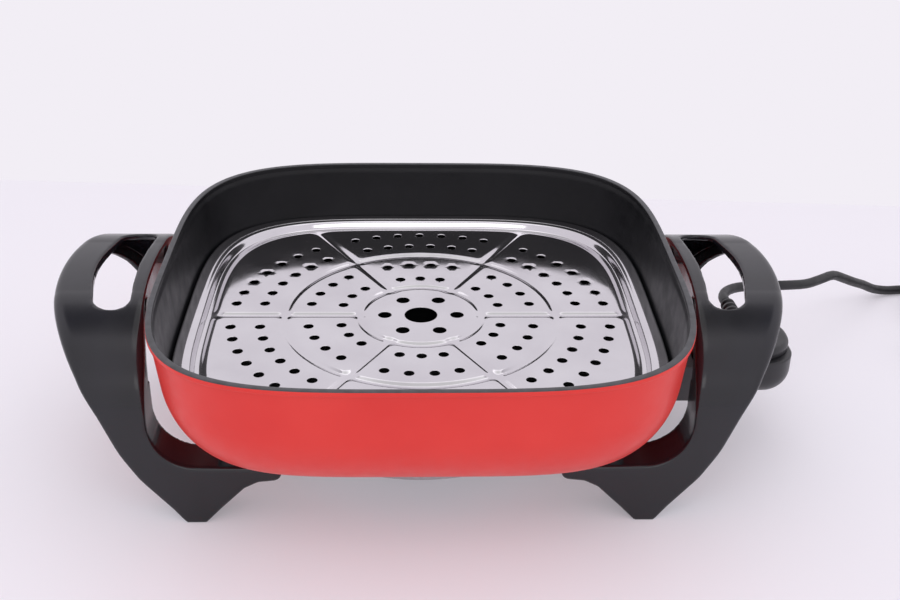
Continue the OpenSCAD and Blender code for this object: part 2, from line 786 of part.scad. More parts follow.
module temperature_dial() {
    flutes = 24;
    base_z = body_top + seat_gap;
    color("#262629") translate([dial_x, 0, base_z]) difference() {
        union() {
            rotate_extrude() polygon([
                [0, 0], [dial_d / 2 - 0.6, 0], [dial_d / 2, 0.6], [dial_d / 2, dial_h - 2],
                [dial_d / 2 - 1.6, dial_h], [dial_d / 2 - 5, dial_h], [dial_d / 2 - 6.5, dial_h - 1],
                [0, dial_h - 1]
            ]);
            translate([2, -1, dial_h - 1.5]) cube([dial_d / 2 - 5, 2, 1.3]);
        }
        for (a = [0:360 / flutes:359]) {
            rotate(a) translate([dial_d / 2 + 0.5, 0, -1]) cylinder(h = dial_h + 2, d = 2.4, $fn = 16);
        }
        translate([0, 0, -1]) cylinder(h = dial_h - 2, d = shaft_d);
    }
}

module dial_shaft() {
    color("#9a9a9c") translate([dial_x, 0, block_top - 7.5])
        cylinder(h = body_top + seat_gap + dial_h - 3 - block_top + 7.5, d = shaft_d);
}

module strain_relief() {
    ribs = 5;
    tip_d = cord_d + 2.6;
    color("#29292b") translate([relief_x, relief_seat, relief_z]) rotate([-90, 0, 0])
        difference() {
            union() {
                cylinder(h = 2, d = relief_flange_d);
                cylinder(h = cover_t + 2 + EPS, d = relief_hole_d);
                translate([0, 0, cover_t + 2])
                    cylinder(h = relief_l, d1 = relief_hole_d + 1, d2 = tip_d);
            }
            for (i = [1:ribs]) {
                translate([0, 0, cover_t + 2 + relief_l * i / (ribs + 1)]) difference() {
                    cylinder(h = 2.4, d = relief_hole_d + 6);
                    translate([0, 0, -1]) cylinder(h = 5, d = cord_d + 1.2);
                }
            }
        }
}

// ---- Cord --------------------------------------------------------------------------------

relief_tip = body_half + relief_l;
coil_lift = 1;
coil_mid_r = 5.5 * cord_d;
coil_centre = [relief_x + 217.5, relief_tip + 127 - coil_mid_r - cord_d / 2];
plug_x = coil_centre.x;            // back end of the plug
plug_y = coil_centre.y - 63;
plug_z = 11;
rest_z = coil_lift + cord_d / 2;

// Route of the cord's middle from the strain relief down to the surface and on to the coil:
// [way in x, way in y, part of the strain relief's height that is left]
cord_route = [
    [0, 0, 1], [0, 12, 0.98], [5.5, 25, 0.944], [16.5, 35, 0.907], [32.5, 41, 0.869],
    [51.5, 44, 0.85], [71.5, 54, 0.776], [86.5, 67, 0.72], [100.5, 80, 0.664], [112.5, 89, 0.533],
    [123.5, 97, 0.402], [137.5, 109, 0.234], [149.5, 118, 0.084], [162.5, 124, 0],
    [175.5, 127, -0.02], [189.5, 127, -0.02], [203.5, 127, -0.005], [217.5, 127, 0]
];
cord_points = [
    for (p = cord_route)
        [relief_x + p.x, relief_tip + p.y, max(cord_d / 2, lerp(rest_z, relief_z, p.z))]
];
// Route from the coil's last turn to the plug
tail_points = [
    for (p = [[42, 0, 11.5], [42, -10, 11], [40, -21, 9.5], [35, -33, 7.5], [27, -44, 6.5],
        [18, -53, 7.5], [9, -60, 9.5], [0, -63, plug_z]])
        [coil_centre.x + p.x, coil_centre.y + p.y, p.z]
];

function catmull(p, i, t) =
    let (n = len(p) - 1, a = p[max(i - 1, 0)], b = p[i], c = p[i + 1], d = p[min(i + 2, n)])
    0.5 * (2 * b + (c - a) * t + (2 * a - 5 * b + 4 * c - d) * t * t
        + (3 * b - a - 3 * c + d) * t * t * t);
function smooth(p, steps) =
    concat([for (i = [0:len(p) - 2], k = [0:steps - 1]) catmull(p, i, k / steps)], [p[len(p) - 1]]);

// Round tube swept along a route
module tube(route, d, sides = 8) {
    n = len(route);
    rings = [for (i = [0:n - 1])
        let (t = unit(route[min(i + 1, n - 1)] - route[max(i - 1, 0)]),
             u = unit(cross([0, 0, 1], t)), v = cross(t, u))
        each [for (k = [0:sides - 1])
            route[i] + d / 2 * (cos(360 * k / sides) * u + sin(360 * k / sides) * v)]];
    walls = [for (i = [0:n - 2], k = [0:sides - 1])
        let (j = (k + 1) % sides, a = i * sides, b = a + sides) [a + j, a + k, b + k, b + j]];
    ends = [[for (k = [0:sides - 1]) k], [for (k = [sides - 1:-1:0]) (n - 1) * sides + k]];
    polyhedron(rings, concat(walls, ends));
}

module cord() {
    color("#3a3a3c") tube(smooth(cord_points, 2), cord_d);
}

module cord_tail() {
    color("#3a3a3c") tube(smooth(tail_points, 2), cord_d);
}

module cord_coil() {
    color("#3a3a3c") translate([coil_centre.x, coil_centre.y, coil_lift])
        rotate_extrude($fn = 96) translate([coil_mid_r - cord_d, 0])
            polygon(outline([[0, 0, 2.5], [2 * cord_d, 0, 2.5], [2 * cord_d, 2 * cord_d, 2.5],
                [0, 2 * cord_d, 2.5]]));
}

module coil_tie() {
    band = 0.9;
    outer = 2 * cord_d + 2 * band;
    color("#1d1d1f") translate([coil_centre.x, coil_centre.y, 0]) rotate(-98)
        rotate_extrude(angle = 16, $fn = 96) translate([coil_mid_r - outer / 2, coil_lift - band])
            difference() {
                square([outer, outer]);
                translate([band, band]) square([2 * cord_d, 2 * cord_d]);
            }
}

// Plug: a flat body that tapers to its own strain relief, lying on the surface, pins to -X
plug_l = 46;
plug_pin_d = 4.8;
plug_pin_gap = 19;
plug_pin_l = 19;

module plug_body() {
    from_above = [[0, -5.5, 1], [0, 5.5, 1], [-12, 7, 3], [-20, 17, 8], [-plug_l, 18, 4],
        [-plug_l, -18, 4], [-20, -17, 8], [-12, -7, 3]];
    from_side = [[0, -4.5, 1], [0, 4.5, 1], [-12, 6, 3], [-22, 11, 8], [-plug_l, 11, 4],
        [-plug_l, -11, 4], [-22, -11, 8], [-12, -6, 3]];
    color("#2c2c2e") translate([plug_x, plug_y, plug_z]) difference() {
        intersection() {
            linear_extrude(40, center = true) polygon(outline(from_above));
            rotate([90, 0, 0]) linear_extrude(60, center = true) polygon(outline(from_side));
        }
        mirrored([0, 1, 0]) translate([0, plug_pin_gap / 2, 0])
            rod_x(-plug_l - 1, -plug_l + 7.5, plug_pin_d);
    }
}

module plug_pins() {
    color("#c8c9cc") translate([plug_x - plug_l, plug_y, plug_z]) mirrored([0, 1, 0])
        translate([0, plug_pin_gap / 2, 0]) {
            rod_x(-plug_pin_l + 1, 7.5, plug_pin_d);
            translate([-plug_pin_l, 0, 0]) rotate([0, 90, 0])
                cylinder(h = 1, d1 = plug_pin_d - 1.6, d2 = plug_pin_d);
        }
}

// ---- Nodes -------------------------------------------------------------------------------
// The modules above measure from the middle of the pan

module placed() {
    translate([-middle_x, 0, 0]) children();
}

placed() pan();
placed() leg_lugs();
placed() grip_posts();
placed() heater_casting();
placed() heating_tube();
placed() terminal_pins();
placed() pin_insulators();
placed() socket_shroud();
placed() shroud_screws();
placed() left_handle_leg();
placed() right_handle_leg();
placed() leg_screws();
placed() handle_screws();
placed() steam_tray();
placed() controller_lower_cover();
placed() controller_upper_cover();
placed() cover_screws();
placed() thermostat_block();
placed() contact_sleeves();
placed() probe_rod();
placed() indicator_lens();
placed() temperature_dial();
placed() dial_shaft();
placed() strain_relief();
placed() cord();
placed() cord_coil();
placed() cord_tail();
placed() coil_tie();
placed() plug_body();
placed() plug_pins();
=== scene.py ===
"""Electric skillet: a square cast pan with a pressed steam tray, carried by two bridge-shaped
handle mouldings, with a plug-in temperature controller on its cord.

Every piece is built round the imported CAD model, in metres and in its frame."""

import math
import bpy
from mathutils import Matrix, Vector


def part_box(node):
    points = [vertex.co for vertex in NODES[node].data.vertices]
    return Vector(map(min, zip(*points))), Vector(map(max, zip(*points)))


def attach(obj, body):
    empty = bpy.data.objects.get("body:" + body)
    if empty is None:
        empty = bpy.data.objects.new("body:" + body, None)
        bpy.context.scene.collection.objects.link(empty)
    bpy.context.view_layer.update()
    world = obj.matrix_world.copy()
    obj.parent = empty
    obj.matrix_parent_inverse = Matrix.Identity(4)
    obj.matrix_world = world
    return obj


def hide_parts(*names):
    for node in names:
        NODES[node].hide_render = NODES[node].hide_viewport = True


bl_info = {
    "name": "Electric Skillet",
    "version": (1, 0, 0),
    "blender": (4, 5, 0),
    "location": "3D View > Sidebar > Skillet",
    "description": "Builds the visible pieces and the finishes of an electric skillet",
    "category": "Object",
}

from functools import reduce

import bmesh
import bpy
import numpy as np
from bpy.props import FloatProperty, FloatVectorProperty, IntProperty, PointerProperty
from mathutils import Euler, Matrix, Vector
from mathutils.geometry import delaunay_2d_cdt

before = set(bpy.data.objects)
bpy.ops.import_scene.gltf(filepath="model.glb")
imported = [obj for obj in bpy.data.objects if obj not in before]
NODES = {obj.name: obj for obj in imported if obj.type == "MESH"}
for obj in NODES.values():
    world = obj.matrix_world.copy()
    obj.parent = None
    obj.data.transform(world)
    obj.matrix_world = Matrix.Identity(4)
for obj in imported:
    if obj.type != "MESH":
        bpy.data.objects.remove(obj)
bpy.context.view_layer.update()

MM = 0.001
TAU = math.tau
# The pieces are drawn in millimetres from the middle of the pan, on the surface it stands on
PAN_MIDDLE = np.array((sum(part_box("pan"), Vector()).x / 2 / MM, 0, 0))


def in_frame(points):
    """Points in millimetres from the pan's middle, as metres in the frame."""
    return (np.asarray(points, float) + PAN_MIDDLE) * MM


def cad_box(node):
    """A node's lowest and highest corner, in millimetres from the pan's middle."""
    return [np.array(corner) / MM - PAN_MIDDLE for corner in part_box(node)]


# ---- Colours and nodes ----


def linear(code):
    """The linear colour of an sRGB hex code, opaque."""
    parts = [int(code[i : i + 2], 16) / 255 for i in (1, 3, 5)]
    return tuple(p / 12.92 if p <= 0.04045 else ((p + 0.055) / 1.055) ** 2.4 for p in parts) + (1.0,)


def add(tree, kind, *values, inputs=(), **settings):
    """Adds a node with its settings. Its inputs are given in order or by name, each a value or
    the socket that feeds it. Returns the node's outputs."""
    made = tree.nodes.new(kind)
    for name, value in settings.items():
        setattr(made, name, value)
    for key, value in (*enumerate(values), *dict(inputs).items()):
        if isinstance(value, bpy.types.NodeSocket):
            tree.links.new(value, made.inputs[key])
        else:
            made.inputs[key].default_value = value
    return made.outputs


NOISE_SPREAD = (0.3, 0.7)  # where nearly all values of the noise lie


def grain(tree, place, size, low=0.0, high=1.0, detail=3.0):
    """Noise whose grain is size millimetres, its values spread from low to high."""
    given = {"Vector": place, "Scale": 1 / (size * MM), "Detail": detail}
    noise = add(tree, "ShaderNodeTexNoise", inputs=given)
    return add(tree, "ShaderNodeMapRange", noise[0], *NOISE_SPREAD, low, high)[0]


def new_finish(name, tones, cloud, rough, smear, tooth, depth, stretch=(1, 1, 1), **values):
    """A material whose colour clouds between two tones over cloud millimetres, whose roughness
    is uneven over smear millimetres, and whose surface has a tooth this wide and deep."""
    finish = bpy.data.materials.new(name)
    finish.use_nodes = True
    tree = finish.node_tree
    tree.nodes.clear()
    place = add(tree, "ShaderNodeTexCoord")["Object"]
    if stretch != (1, 1, 1):
        place = add(tree, "ShaderNodeMapping", inputs={"Vector": place, "Scale": stretch})[0]
    dark, light = (linear(tone) if isinstance(tone, str) else tone for tone in tones)
    clouds = {"Factor": grain(tree, place, cloud), "A": dark, "B": light}
    relief = {"Height": grain(tree, place, tooth, detail=2), "Distance": depth * MM}
    given = {
        "Base Color": add(tree, "ShaderNodeMix", data_type="RGBA", inputs=clouds)["Result"],
        "Roughness": grain(tree, place, smear, *rough),
        "Normal": add(tree, "ShaderNodeBump", inputs=relief)[0],
    }
    given.update({key.replace("_", " "): value for key, value in values.items()})
    shader = add(tree, "ShaderNodeBsdfPrincipled", inputs=given)
    add(tree, "ShaderNodeOutputMaterial", shader[0])
    return finish


# ---- Meshes ----


def new_object(name, data):
    made = bpy.data.objects.new(name, data)
    bpy.context.scene.collection.objects.link(made)
    return made


def new_piece(name, mesh, body, slot, *stood_for):
    """A piece that rides on a body and may stand for CAD nodes."""
    piece = new_object(name, mesh)
    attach(piece, body)
    if stood_for:
        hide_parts(*stood_for)
    return piece


def new_mesh(name, points, faces, finish):
    """A smooth mesh from points in millimetres."""
    mesh = bpy.data.meshes.new(name)
    mesh.from_pydata(in_frame(points).tolist(), [], faces)
    mesh.validate()
    mesh.shade_smooth()
    mesh.materials.append(finish)
    return mesh


def mesh_of(name, work, finish):
    """A smooth mesh from a bmesh, which is freed."""
    mesh = bpy.data.meshes.new(name)
    work.to_mesh(mesh)
    work.free()
    mesh.shade_smooth()
    mesh.materials.append(finish)
    return mesh


def ring_points(middle, radius, sides):
    angles = np.arange(sides) * TAU / sides
    return np.column_stack([middle[0] + radius * np.cos(angles), middle[1] + radius * np.sin(angles)])


def band(first, second, sides):
    """Faces between two rings of points, each given by the number of its first point."""
    following = [(i + 1) % sides for i in range(sides)]
    return [(first + i, second + i, second + j, first + j) for i, j in enumerate(following)]


def grown(name, tree, source, values):
    """Runs a geometry node tree on a source mesh and returns its result as a plain mesh."""
    holder = new_object(name, source)
    modifier = holder.modifiers.new("shape", "NODES")
    modifier.node_group = tree
    for item in tree.interface.items_tree:
        if item.item_type == "SOCKET" and item.name in values:
            modifier[item.identifier] = values[item.name]
    bpy.context.view_layer.update()
    graph = bpy.context.evaluated_depsgraph_get()
    mesh = bpy.data.meshes.new_from_object(holder.evaluated_get(graph))
    bpy.data.objects.remove(holder)
    mesh.name = name
    return mesh


def turned_tree():
    """Sweeps a section round its axis, as a circle or as a rounded square, with flutes if it
    has them, and sets a copy on each point of the places."""
    tree = bpy.data.node_groups.new("Turned piece", "GeometryNodeTree")
    for label, kind in (
        ("Section", "Geometry"), ("Segments", "Int"), ("Flutes", "Int"), ("Flute depth", "Float"),
        ("Places", "Object"), *((f"Finish {k}", "Material") for k in range(3)),
    ):
        tree.interface.new_socket(label, in_out="INPUT", socket_type="NodeSocket" + kind)
    tree.interface.new_socket("Mesh", in_out="OUTPUT", socket_type="NodeSocketGeometry")
    given = add(tree, "NodeGroupInput")
    section = given["Section"]
    count = add(tree, "GeometryNodeAttributeDomainSize", section)["Point Count"]
    columns = add(tree, "ShaderNodeMath", given["Segments"], 1.0, operation="ADD")[0]
    grid = add(tree, "GeometryNodeMeshGrid", 1.0, 1.0, columns, count)["Mesh"]
    # Across the grid is the way round, up it the way along the section
    spot = add(tree, "GeometryNodeInputPosition")[0]
    shifted = add(tree, "ShaderNodeVectorMath", spot, (0.5, 0.5, 0.0), operation="ADD")[0]
    part = add(tree, "ShaderNodeSeparateXYZ", shifted)
    steps = add(tree, "ShaderNodeMath", count, 1.0, operation="SUBTRACT")[0]
    row = add(tree, "ShaderNodeMath", part[1], steps, operation="MULTIPLY")[0]
    nearest = add(tree, "ShaderNodeMath", row, operation="ROUND")[0]
    below = add(tree, "ShaderNodeMath", row, operation="FLOOR")[0]
    fields = {"place": spot}
    for label in ("squareness", "fluted", "finish", "lean"):
        kind = {"data_type": "FLOAT_VECTOR" if label == "lean" else "FLOAT"}
        name = {"Name": label}
        fields[label] = add(tree, "GeometryNodeInputNamedAttribute", **kind, inputs=name)[0]
    read = {"across": part[0], "flutes": given["Flutes"], "depth": given["Flute depth"]}
    for label, kind, at in (
        ("squareness", "FLOAT", nearest), ("fluted", "FLOAT", nearest),
        ("finish", "FLOAT", below), ("place", "FLOAT_VECTOR", nearest),
    ):
        sampled = {"Geometry": section, "Value": fields[label], "Index": at}
        read[label] = add(tree, "GeometryNodeSampleIndex", data_type=kind, inputs=sampled)[0]
    read["half width"], _, level = add(tree, "ShaderNodeSeparateXYZ", read["place"])
    # A rounded square's reach is (|cos|^n + |sin|^n)^(-1/n), and n = 2 is a circle. Each flute
    # is a narrow hollow: the fourth power of a half wave
    for name, operation, *values in (
        ("angle", "MULTIPLY", "across", TAU), ("cos", "COSINE", "angle"), ("sin", "SINE", "angle"),
        ("a", "ABSOLUTE", "cos"), ("a", "POWER", "a", "squareness"),
        ("b", "ABSOLUTE", "sin"), ("b", "POWER", "b", "squareness"),
        ("sum", "ADD", "a", "b"), ("root", "DIVIDE", -1.0, "squareness"),
        ("reach", "POWER", "sum", "root"), ("reach", "MULTIPLY", "reach", "half width"),
        ("turn", "MULTIPLY", "flutes", 0.5), ("turn", "MULTIPLY", "turn", "angle"),
        ("wave", "COSINE", "turn"), ("hollow", "POWER", "wave", 4.0),
        ("hollow", "MULTIPLY", "hollow", "depth"), ("hollow", "MULTIPLY", "hollow", "fluted"),
        ("reach", "SUBTRACT", "reach", "hollow"),
        ("x", "MULTIPLY", "reach", "cos"), ("y", "MULTIPLY", "reach", "sin"),
    ):
        values = [read.get(value, value) for value in values]
        read[name] = add(tree, "ShaderNodeMath", *values, operation=operation)[0]
    target = add(tree, "ShaderNodeCombineXYZ", read["x"], read["y"], level)[0]
    marked = {"Geometry": grid, "Name": "finish", "Value": read["finish"]}
    shape = add(tree, "GeometryNodeStoreNamedAttribute", domain="FACE", inputs=marked)[0]
    shape = add(tree, "GeometryNodeSetPosition", inputs={"Geometry": shape, "Position": target})[0]
    shape = add(tree, "GeometryNodeMergeByDistance", inputs={"Geometry": shape, "Distance": 2e-6})[0]
    shape = add(tree, "GeometryNodeSetShadeSmooth", shape)[0]
    spots = add(tree, "GeometryNodeObjectInfo", given["Places"])["Geometry"]
    copies = {"Points": spots, "Instance": shape, "Rotation": fields["lean"]}
    shape = add(tree, "GeometryNodeInstanceOnPoints", inputs=copies)[0]
    shape = add(tree, "GeometryNodeRealizeInstances", shape)[0]
    above = {"data_type": "FLOAT", "operation": "GREATER_THAN"}
    for k in range(3):
        chosen = add(tree, "FunctionNodeCompare", fields["finish"], k - 0.5, **above)[0]
        shape = add(tree, "GeometryNodeSetMaterial", shape, chosen, given[f"Finish {k}"])[0]
    add(tree, "NodeGroupOutput", shape)
    return tree


def turned(name, section, places, finishes, segments, flutes=0, depth=0.0, lean=(0, 0, 0)):
    """A mesh swept from a section, with a copy at each place. The section's rows are [half
    width, height, squareness, share of the flutes, finish] in millimetres, anticlockwise seen
    with its axis on the left."""
    rows = [tuple(row) + (2.0, 0.0, 0.0)[len(row) - 2 :] for row in section]
    source = bpy.data.meshes.new(name)
    edges = [(i, i + 1) for i in range(len(rows) - 1)]
    source.from_pydata([(row[0] * MM, 0, row[1] * MM) for row in rows], edges, [])
    for k, label in ((2, "squareness"), (3, "fluted"), (4, "finish")):
        values = [row[k] for row in rows]
        source.attributes.new(label, "FLOAT", "POINT").data.foreach_set("value", values)
    spots = bpy.data.meshes.new(name + "_places")
    spots.from_pydata(in_frame(places).tolist(), [], [])
    turns = spots.attributes.new("lean", "FLOAT_VECTOR", "POINT")
    turns.data.foreach_set("vector", list(lean) * len(places))
    holder = new_object(name + "_places", spots)
    values = {"Segments": segments, "Flutes": flutes, "Flute depth": depth * MM, "Places": holder}
    values.update({f"Finish {k}": finishes[k % len(finishes)] for k in range(3)})
    tree = bpy.data.node_groups.get("Turned piece") or turned_tree()
    mesh = grown(name, tree, source, values)
    bpy.data.objects.remove(holder)
    return mesh


# ---- Finishes ----


def enamel_red():
    """Sprayed enamel on cast aluminium: an even satin coat whose orange peel, 2 mm across,
    spreads every light into a wide soft sheen."""
    look = bpy.context.scene.skillet_colours
    tones = [(*colour, 1) for colour in (look.enamel, look.enamel_light)]
    shine = {"IOR": 1.48, "Coat_Weight": 0.12, "Coat_Roughness": 0.26}
    return new_finish("Red sprayed enamel", tones, 55, (0.36, 0.46), 9, 2, 0.012, **shine)


def rim_grey():
    """Fired coat on the machined rim: dull grey, worn lighter in patches."""
    tones = ("#333336", "#46464A")
    return new_finish("Grey rim coat", tones, 6, (0.32, 0.46), 4, 0.8, 0.01, IOR=1.5)


def nonstick_black():
    """PTFE coat: charcoal, with a fine sprayed tooth that keeps its sheen low."""
    tones = ("#0C0C0F", "#131316")
    return new_finish("Black non-stick coat", tones, 35, (0.34, 0.46), 12, 0.9, 0.02, IOR=1.38)


def stainless_polished():
    """Pressed stainless sheet, mill polished: nearly a mirror, with slow drawing waves and the
    faint smears of wiping."""
    tones, rough = ("#D3D0D4", "#DDDBDE"), (0.07, 0.13)
    return new_finish("Polished stainless sheet", tones, 40, rough, 26, 34, 0.03, Metallic=1.0)


def phenolic_black():
    """Compression-moulded phenolic: deep black, glossy from the polished mould, with faint
    flow marks that run up the legs."""
    tones, rough, along = ("#151519", "#1D1D23"), (0.13, 0.22), (1, 1, 0.35)
    return new_finish("Black phenolic moulding", tones, 30, rough, 24, 16, 0.03, along, IOR=1.52)


def abs_black():
    """Injection-moulded ABS: its spark-eroded texture, half a millimetre across, greys the
    black and blurs what it reflects."""
    return new_finish("Black ABS", ("#222225", "#2A2A2D"), 20, (0.3, 0.42), 14, 0.6, 0.02, IOR=1.53)


def cord_pvc():
    """Extruded PVC sheath: dull black and slightly rippled."""
    tones = ("#18181A", "#212123")
    return new_finish("Black PVC sheath", tones, 12, (0.42, 0.58), 5, 1.2, 0.03, IOR=1.52)


def shaded(code, share):
    """A colour's darker tone, at this share of its light, and the colour itself."""
    light = linear(code)
    return (*(share * part for part in light[:3]), 1), light


def metal(name, colour, rough, size, depth):
    """A bare metal, its roughness and tooth uneven over size millimetres."""
    tones = shaded(colour, 0.8)
    return new_finish(name, tones, size * 4, rough, size * 2, size, depth, Metallic=1.0)


def hard(name, colour, rough, ior, size, depth):
    """A moulded or fired non-metal with a fine surface tooth."""
    tones, rough = shaded(colour, 0.85), (rough * 0.85, rough * 1.15)
    return new_finish(name, tones, size * 8, rough, size * 3, size, depth, IOR=ior)


def dress(finish, *nodes):
    """Gives CAD nodes a finish in place of their plain colour."""
    for name in nodes:
        materials = NODES[name].data.materials
        materials.clear()
        materials.append(finish)


# ---- Settings ----


def size_of(name, description, value):
    return FloatProperty(
        name=name, description=description, default=value, min=0.0, unit="LENGTH", precision=5
    )


def colour_of(name, description, code):
    return FloatVectorProperty(
        name=name, description=description, default=linear(code)[:3], subtype="COLOR", size=3
    )


class SkilletColours(bpy.types.PropertyGroup):
    enamel: colour_of("Enamel", "Colour of the pan's outside", "#DF281F")
    enamel_light: colour_of("Enamel, lighter", "Lighter clouds in the enamel", "#E63329")
    floor: colour_of("Floor", "Colour of the floor", "#F0ECF3")
    wall: colour_of("Wall", "Colour of the background", "#F2EEF5")


class PanSizes(bpy.types.PropertyGroup):
    width: size_of("Width", "Width over the rim", 0.309)
    depth: size_of("Depth", "From rim to underside", 0.083)
    lift: size_of("Lift", "Height of the underside above the surface", 0.043)
    wall: size_of("Wall", "Thickness of the walls", 0.0028)
    base: size_of("Base", "Thickness of the base", 0.0032)
    rim: size_of("Rim", "Width of the rim", 0.0036)
    lip_step: size_of("Lip step", "How far the wall stands inside the lip", 0.0011)
    curve_run: size_of("Curve run", "Half width of the bottom curve", 0.060)
    flat_wall: size_of("Flat wall", "Depth above the bottom curve's middle", 0.026)
    taper: FloatProperty(
        name="Taper", description="Slope of the wall", default=math.radians(6), subtype="ANGLE"
    )
    squareness: FloatProperty(
        name="Squareness", description="2 is a circle, more is squarer", default=3.9, min=2.0
    )
    segments: IntProperty(
        name="Segments", description="Faces round the pan", default=288, min=32, subtype="UNSIGNED"
    )


class TraySizes(bpy.types.PropertyGroup):
    drop: size_of("Drop", "Depth of the tray below the rim", 0.040)
    sheet: size_of("Sheet", "Thickness of the sheet", 0.0008)
    groove: size_of("Groove depth", "Depth of the pressed grooves", 0.0011)
    groove_width: size_of("Groove width", "Width of the pressed grooves", 0.0084)
    hole: size_of("Hole", "Diameter of the small holes", 0.0058)
    ring_hole: size_of("Ring hole", "Diameter of the six middle holes", 0.008)
    middle_hole: size_of("Middle hole", "Diameter of the middle hole", 0.020)


class CordSizes(bpy.types.PropertyGroup):
    diameter: size_of("Diameter", "Diameter of the cord", 0.007)
    lift: size_of("Coil lift", "Room under the coil for its tie", 0.001)


class HandleSizes(bpy.types.PropertyGroup):
    wall: size_of("Wall", "Thickness of the mouldings", 0.0036)
    grip_flat: size_of("Grip length", "Length of the level part of the grip", 0.066)
    shoulder: size_of("Shoulder", "Radius between the grip and the legs", 0.060)
    grip_width: size_of("Grip width", "Width of the grip away from the pan", 0.0565)
    finger_length: size_of("Opening length", "Length of the finger opening", 0.101)
    finger_width: size_of("Opening width", "Width of the finger opening", 0.0246)
    leg_depth: size_of("Leg depth", "Depth of a leg's side walls", 0.028)
    round_top: size_of("Top rounding", "Radius of the grip's upper edges", 0.0065)
    round_low: size_of("Leg rounding", "Radius of the legs' edges", 0.0024)


class ControllerSizes(bpy.types.PropertyGroup):
    wall: size_of("Wall", "Thickness of the covers", 0.0024)
    step_in: size_of("Ledge", "How far the upper cover's sides stand inside the lower's", 0.003)
    end_round: size_of("End rounding", "Radius of the lower cover's outer corners", 0.018)
    upper_round: size_of("Upper end rounding", "Radius of the upper cover's outer corners", 0.024)
    bowl: size_of("Bowl", "Radius of the lower cover's underside edges", 0.016)
    round_top: size_of("Top rounding", "Radius of the upper cover's top edge", 0.003)
    flutes: IntProperty(name="Flutes", description="Hollows round the dial", default=24, min=3)
    flute_depth: size_of("Flute depth", "Depth of the dial's hollows", 0.0008)
    ribs: IntProperty(name="Ribs", description="Cuts in the strain relief", default=5, min=1)


SETTINGS = {
    "skillet_colours": SkilletColours,
    "skillet_pan": PanSizes,
    "skillet_tray": TraySizes,
    "skillet_cord": CordSizes,
    "skillet_handles": HandleSizes,
    "skillet_controller": ControllerSizes,
}


def sizes_mm(group):
    """The lengths of a settings group, in millimetres; other values as they are."""
    settings = getattr(bpy.context.scene, group)
    found = {}
    for name, prop in settings.bl_rna.properties.items():
        if prop.type in {"FLOAT", "INT"}:
            value = getattr(settings, name)
            found[name] = value / MM if getattr(prop, "unit", "") == "LENGTH" else value
    return found


# ---- Camera and cord ----

CAMERA_PLACE = (-0.01658, -0.67035, 0.45028)
CAMERA_TURN = (62.1668, -0.8787, -1.6904)  # degrees about x, y and z
CAMERA_LENS = 49.124


class SKILLET_OT_camera(bpy.types.Operator):
    """Place the camera in front of the skillet, looking down on it"""

    bl_idname = "skillet.camera"
    bl_label = "Camera"

    def execute(self, context):
        lens = bpy.data.cameras.new("camera")
        lens.lens, lens.sensor_width, lens.clip_start = CAMERA_LENS, 36, 0.02
        camera = new_object("camera", lens)
        turn = Euler([math.radians(angle) for angle in CAMERA_TURN])
        camera.matrix_world = Matrix.LocRotScale(Vector(CAMERA_PLACE), turn, None)
        context.scene.camera = camera
        return {"FINISHED"}


# The cord's way from the strain relief to the coil: [way in x, way in y, part of the height left]
CORD_ROUTE = (
    (0, 0, 1), (0, 12, 0.98), (5.5, 25, 0.944), (16.5, 35, 0.907), (32.5, 41, 0.869),
    (51.5, 44, 0.85), (71.5, 54, 0.776), (86.5, 67, 0.72), (100.5, 80, 0.664),
    (112.5, 89, 0.533), (123.5, 97, 0.402), (137.5, 109, 0.234), (149.5, 118, 0.084),
    (162.5, 124, 0), (175.5, 127, -0.02), (189.5, 127, -0.02), (203.5, 127, -0.005),
)
# From the coil's last turn to the plug: [way in x, way in y from the coil's middle, height]
TAIL_ROUTE = (
    (42, 0, 11.5), (42, -10, 11), (40, -21, 9.5), (35, -33, 7.5), (27, -44, 6.5),
    (18, -53, 7.5), (9, -60, 9.5), (0, -63, 11),
)
COIL_FROM_EXIT = (217.5, 85.0)
COIL_SWEEP = 1170  # degrees: three turns and a quarter, clockwise from the rear
# Along the coil: [degrees swept, radius, level in cord diameters]
COIL_KEYS = (
    (0, 42, 0), (320, 42, 0), (360, 35, 0), (640, 35, 0), (680, 35, 1), (960, 35, 1),
    (1000, 42, 1), (COIL_SWEEP, 42, 1),
)
COIL_STEP = 15
CORD_SIDES = 20


def smooth_way(points, steps):
    """Catmull-Rom curve through the points, with this many steps between neighbours."""
    p = np.vstack([2 * points[0] - points[1], points, 2 * points[-1] - points[-2]])
    out = []
    for a, b, c, d in zip(p, p[1:], p[2:], p[3:]):
        bend, twist = 2 * a - 5 * b + 4 * c - d, 3 * b - a - 3 * c + d
        for t in np.arange(steps) / steps:
            out.append((2 * b + (c - a) * t + bend * t * t + twist * t**3) / 2)
    return np.array([*out, p[-2]])


def cord_way(diameter, lift):
    """The whole centreline of the cord, in millimetres from the pan's middle."""
    low, high = cad_box("strain_relief")
    (x, _, z), y = (low + high) / 2, high[1]
    rest = lift + diameter / 2
    lead = [
        (x + right, y + back, max(diameter / 2, rest + (z - rest) * part))
        for right, back, part in CORD_ROUTE
    ]
    middle = np.add((x, y), COIL_FROM_EXIT)
    swept, radii, levels = np.array(COIL_KEYS, float).T
    along = np.arange(0, COIL_SWEEP, COIL_STEP)
    angle, radius = np.radians(90 - along), np.interp(along, swept, radii)
    height = rest + diameter * np.interp(along, swept, levels)
    coil = [middle[0] + radius * np.cos(angle), middle[1] + radius * np.sin(angle), height]
    tail = np.add(TAIL_ROUTE, (*middle, 0))
    return smooth_way(np.vstack([lead, np.transpose(coil), tail]), 3)


